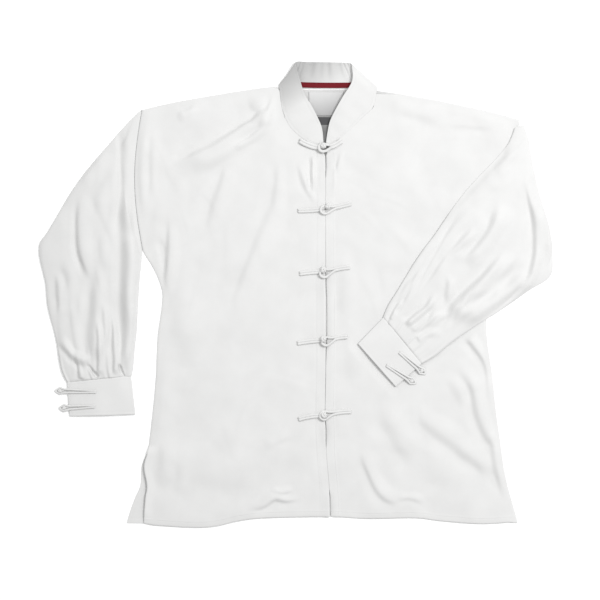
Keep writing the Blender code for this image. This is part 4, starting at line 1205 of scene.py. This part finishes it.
# Places along and across a closure's arm, which sags a little, and the arm's length
def armFrame(knot, end, sag):
    knot, end = np.array(knot, float), np.array(end, float)
    length = np.linalg.norm(end - knot)
    run = (end - knot) / length
    side = np.array((-run[1], run[0]))

    def place(away, across):
        t = np.clip(np.asarray(away, float) / length, 0, 1)
        spot = knot + run * np.asarray(away, float)[..., None] + side * np.asarray(across, float)[..., None]
        spot[..., 1] += sag * 4 * t * (1 - t)
        return spot

    return place, length


# A cord's points, resting on the cloth
def seated(spots, top, radius, lifts=0.0):
    x, y, far = spots[:, 0], spots[:, 1], cordShape["probe"]
    level = np.max([top(x + dx, y + dy) for dx, dy in ((0, 0), (far, 0), (-far, 0), (0, far), (0, -far))], axis=0)
    return raised(spots, level + radius * cordShape["flat"] + lifts)


# How far from the knot the points of a cord lie, from its end inwards
def cordAway(length, shares, near):
    return np.concatenate([[length, length - cordShape["end"]], length * np.array(shares), near])


# The loop half's cord: in along one lane, round the eye and back out along the other
def inAndOut(lane, eye, back=1):
    return np.concatenate([lane, eye, back * lane[::-1]])


def addCord(name, mesh, node):
    addPiece(name, mesh, "cord", (node,))


def makeFrog(number):
    shape, name = frogs, f"frog{number + 1}"
    knot, sag = shape["knots"][number], shape["sags"][number]
    radius, lane = shape["cord"] * shape["fat"][number], shape["lane"] * shape["fat"][number]
    seat = float(clothTop(np.array([knot[0] + shape["seatAt"]]), np.array([float(knot[1])]))[0])
    shift, slack = shape["ballShifts"][number], shape["loopShifts"][number]
    centre = (knot[0] + shift[0], knot[1] + shift[1], seat + shape["ball"] + shape["ballRise"])
    # knot half: two cords side by side that rise into the ball's stem
    place, length = armFrame(knot, shape["rightEnds"][number], sag)
    away = cordAway(length, shape["armShares"], shape["armNear"])
    apart = np.concatenate([lane * np.array(shape["armLanes"]), shape["armApart"]])
    far, run = shape["shiftRun"]
    parts = []
    for sign in (-1, 1):
        spots = place(away, sign * apart) + np.array(shift) * smooth((far - away) / run)[:, None]
        parts.append(cordMesh("arm", seated(spots, clothTop, radius, np.array(shape["armLifts"])), radius))
    parts += ballMeshes(centre, shape["ball"], shape["pass"], math.radians(shape["turn"] * number))
    addCord(name + "Knot", joinMeshes(name + "Knot", parts), f"frog_{number + 1}_knot")
    # loop half
    place, length = armFrame(knot, shape["leftEnds"][number], sag)
    eye, (eyeLong, eyeWide) = shape["ring"], shape["eyeForm"]
    laneAway = cordAway(length, shape["loopShares"], [eye + shape["loopNear"]])
    laneAcross = np.concatenate([lane * np.array(shape["loopLanes"]), [shape["loopApart"]]])
    angles = np.radians(np.arange(*shape["eyeAngles"]))
    away = inAndOut(laneAway, eye * eyeLong * np.cos(angles))
    across = inAndOut(laneAcross, eye * eyeWide * np.sin(angles), -1)
    start, run = shape["climbForm"]
    climb = shape["climb"] * smooth((start - np.cos(angles)) / run)
    lifts = inAndOut(np.array(shape["loopLifts"]), shape["eyeLift"] + climb)
    run = shape["slackRun"]
    spots = place(away, across) + np.array(slack) * smooth((eye + run - away) / run)[:, None]
    loop = cordMesh(name + "Loop", seated(spots, clothTop, radius, lifts), radius)
    addCord(name + "Loop", loop, f"frog_{number + 1}_loop")
    # small tacking stitches over both arms
    lines = []
    for end in ("rightEnds", "leftEnds"):
        place, length = armFrame(knot, shape[end][number], sag)
        for away in np.linspace(length - shape["tackFrom"], length * shape["tackTo"], shape["tacks"]):
            spots = place(np.array([away, away]), np.array([-shape["tackHalf"], shape["tackHalf"]]))
            lines.append(raised(spots, clothTop(spots[:, 0], spots[:, 1]) + radius * shape["tackRise"]))
    stitchRow(name + "Tacks", lines, length=1.8, pitch=3.0, thread=0.4)


def makeCuffFrog(side, number):
    shape, table = cuffFrogs, cuffFrogs[side]
    radius, eye, name = shape["cord"], shape["ring"], "cuff" + side.capitalize()
    knot, end = table["knots"][number], table["ends"][number]
    (outerStart, outerEnd), (innerStart, _), width, depth = cuffFrame(side)
    run, down = (innerStart - outerStart) / width, (outerEnd - outerStart) / depth
    basis = np.linalg.inv(np.stack([run * width, down * depth], 1))
    level = cuffs[side]["level"]

    def top(x, y):
        local = np.stack([x - outerStart[0], y - outerStart[1]], -1) @ basis.T
        share, along = (np.clip(local[..., c], edge, 1 - edge) for c, edge in enumerate(shape["edges"]))
        rise = cuffTop(side, share, along, width, depth)
        past = np.clip(-local[..., 0] * width / shape["pastRun"], 0, 1)
        return level + rise * (1 - shape["pastDrop"] * past)

    place, length = armFrame(knot, end, 0)
    laneAway = cordAway(length, shape["loopShares"], [eye + shape["loopNear"]])
    laneAcross = shape["endLane"] + (shape["edgeLane"] - shape["endLane"]) * (1 - laneAway / length)
    angles = np.radians(np.arange(*shape["eyeAngles"]))
    tip = np.clip(-np.cos(angles), 0, 1)
    away = inAndOut(laneAway, eye * np.cos(angles) * (1 + (shape["tip"] - 1) * tip))
    across = inAndOut(laneAcross, eye * np.sin(angles) * (1 - shape["tipNarrow"] * tip), -1)
    loop = cordMesh(f"{name}Loop{number + 1}", seated(place(away, across), top, radius), radius)
    addCord(loop.name, loop, f"cuff_{side}_loop_{number + 1}")
    centre = (knot[0], knot[1], level + shape["ball"] + shape["ballRise"])
    stem = raised(place(np.array(shape["stemAway"]), np.zeros(4)), level + np.array(shape["stemLevels"]))
    parts = [cordMesh("stem", stem, shape["stem"])]
    parts += ballMeshes(centre, shape["ball"], shape["pass"], math.radians(shape["turn"] * number))
    button = joinMeshes(f"{name}Knot{number + 1}", parts)
    addCord(button.name, button, f"cuff_{side}_knot_{number + 1}")


for number in range(len(frogs["knots"])):
    makeFrog(number)
for side in ("right", "left"):
    for number in range(2):
        makeCuffFrog(side, number)
print("closures made")


# Stitching on the body

bodyStitches = {"right": {"facing": (-372, 240, 240), "hem": (-250, 56, 160)},
                "left": {"facing": (-372, 242, 240), "hem": (54, 368, 160)}, "rise": 0.08}


def makeBodyStitches():
    lines = []
    for side, sign in (("right", -1), ("left", 1)):
        y = np.linspace(*bodyStitches[side]["facing"])
        facing = np.stack([centreX(y) + sign * (openingHalf(y) + body["facing"] - cloth["stitchInset"]), y], -1)
        x = np.linspace(*bodyStitches[side]["hem"])
        hem = np.stack([x, hemY(x) + cloth["hemDepth"] - cloth["stitchInset"]], -1)
        for line in (facing, hem):
            lines.append(raised(line, frontTop(side, line[:, 0], line[:, 1]) + bodyStitches["rise"]))
    stitchRow("bodyStitches", lines)


makeBodyStitches()
print("stitches made")

# Each label's table, looked up again

for name in ("neckLabel", "sizeTab"):
    shape = labels[name]


# Floor, lights and camera

studio = {
    "floorColour": (0.97, 0.97, 0.97), "floorGlow": 0.08, "floorReach": 16.0,
    "keyPower": 44.0, "keySize": 0.8, "keyFrom": (1.25, 0.72, 2.45),
    "fillPower": 12.0, "fillSize": 1.2, "fillFrom": (-0.3, 1.3, 2.3),
    "world": 0.612,
    "cameraHeight": 3.2, "cameraX": 7.5, "cameraY": -8.8, "frameWidth": 1020.0, "sensor": 36,
}

bm = bmesh.new()
bmesh.ops.create_grid(bm, x_segments=2, y_segments=2, size=studio["floorReach"])
floor = toScene("floor", toMesh("floor", bm))
floorFinish = bpy.data.materials.new("floorFinish")
floorFinish.use_nodes = True
setSockets(floorFinish.node_tree.links, floorFinish.node_tree.nodes["Principled BSDF"], {
    "Base Color": (*studio["floorColour"], 1), "Roughness": 0.95, "Specular IOR Level": 0.0,
    "Emission Color": (1, 1, 1, 1), "Emission Strength": studio["floorGlow"]})
floor.data.materials.append(floorFinish)


def addLight(name, power, size, origin):
    lamp = bpy.data.lights.new(name, "AREA")
    lamp.energy = power
    lamp.shape = "DISK"
    lamp.size = size
    holder = toScene(name, lamp)
    holder.location = origin
    holder.rotation_euler = (Vector((0, 0, 0)) - Vector(origin)).to_track_quat("-Z", "Y").to_euler()


addLight("key", studio["keyPower"], studio["keySize"], studio["keyFrom"])
addLight("fill", studio["fillPower"], studio["fillSize"], studio["fillFrom"])
world = bpy.data.worlds.new("studioWorld")
world.use_nodes = True
setSockets(world.node_tree.links, world.node_tree.nodes["Background"], {
    "Color": (1, 1, 1, 1), "Strength": studio["world"]})
bpy.context.scene.world = world
bpy.context.scene.view_settings.view_transform = "Standard"

lens = bpy.data.cameras.new("camera")
lens.sensor_width = studio["sensor"]
lens.lens = studio["sensor"] * studio["cameraHeight"] / (studio["frameWidth"] * mm)
camera = toScene("camera", lens)
camera.location = (studio["cameraX"] * mm, studio["cameraY"] * mm, studio["cameraHeight"])
bpy.context.scene.camera = camera
print("studio made")
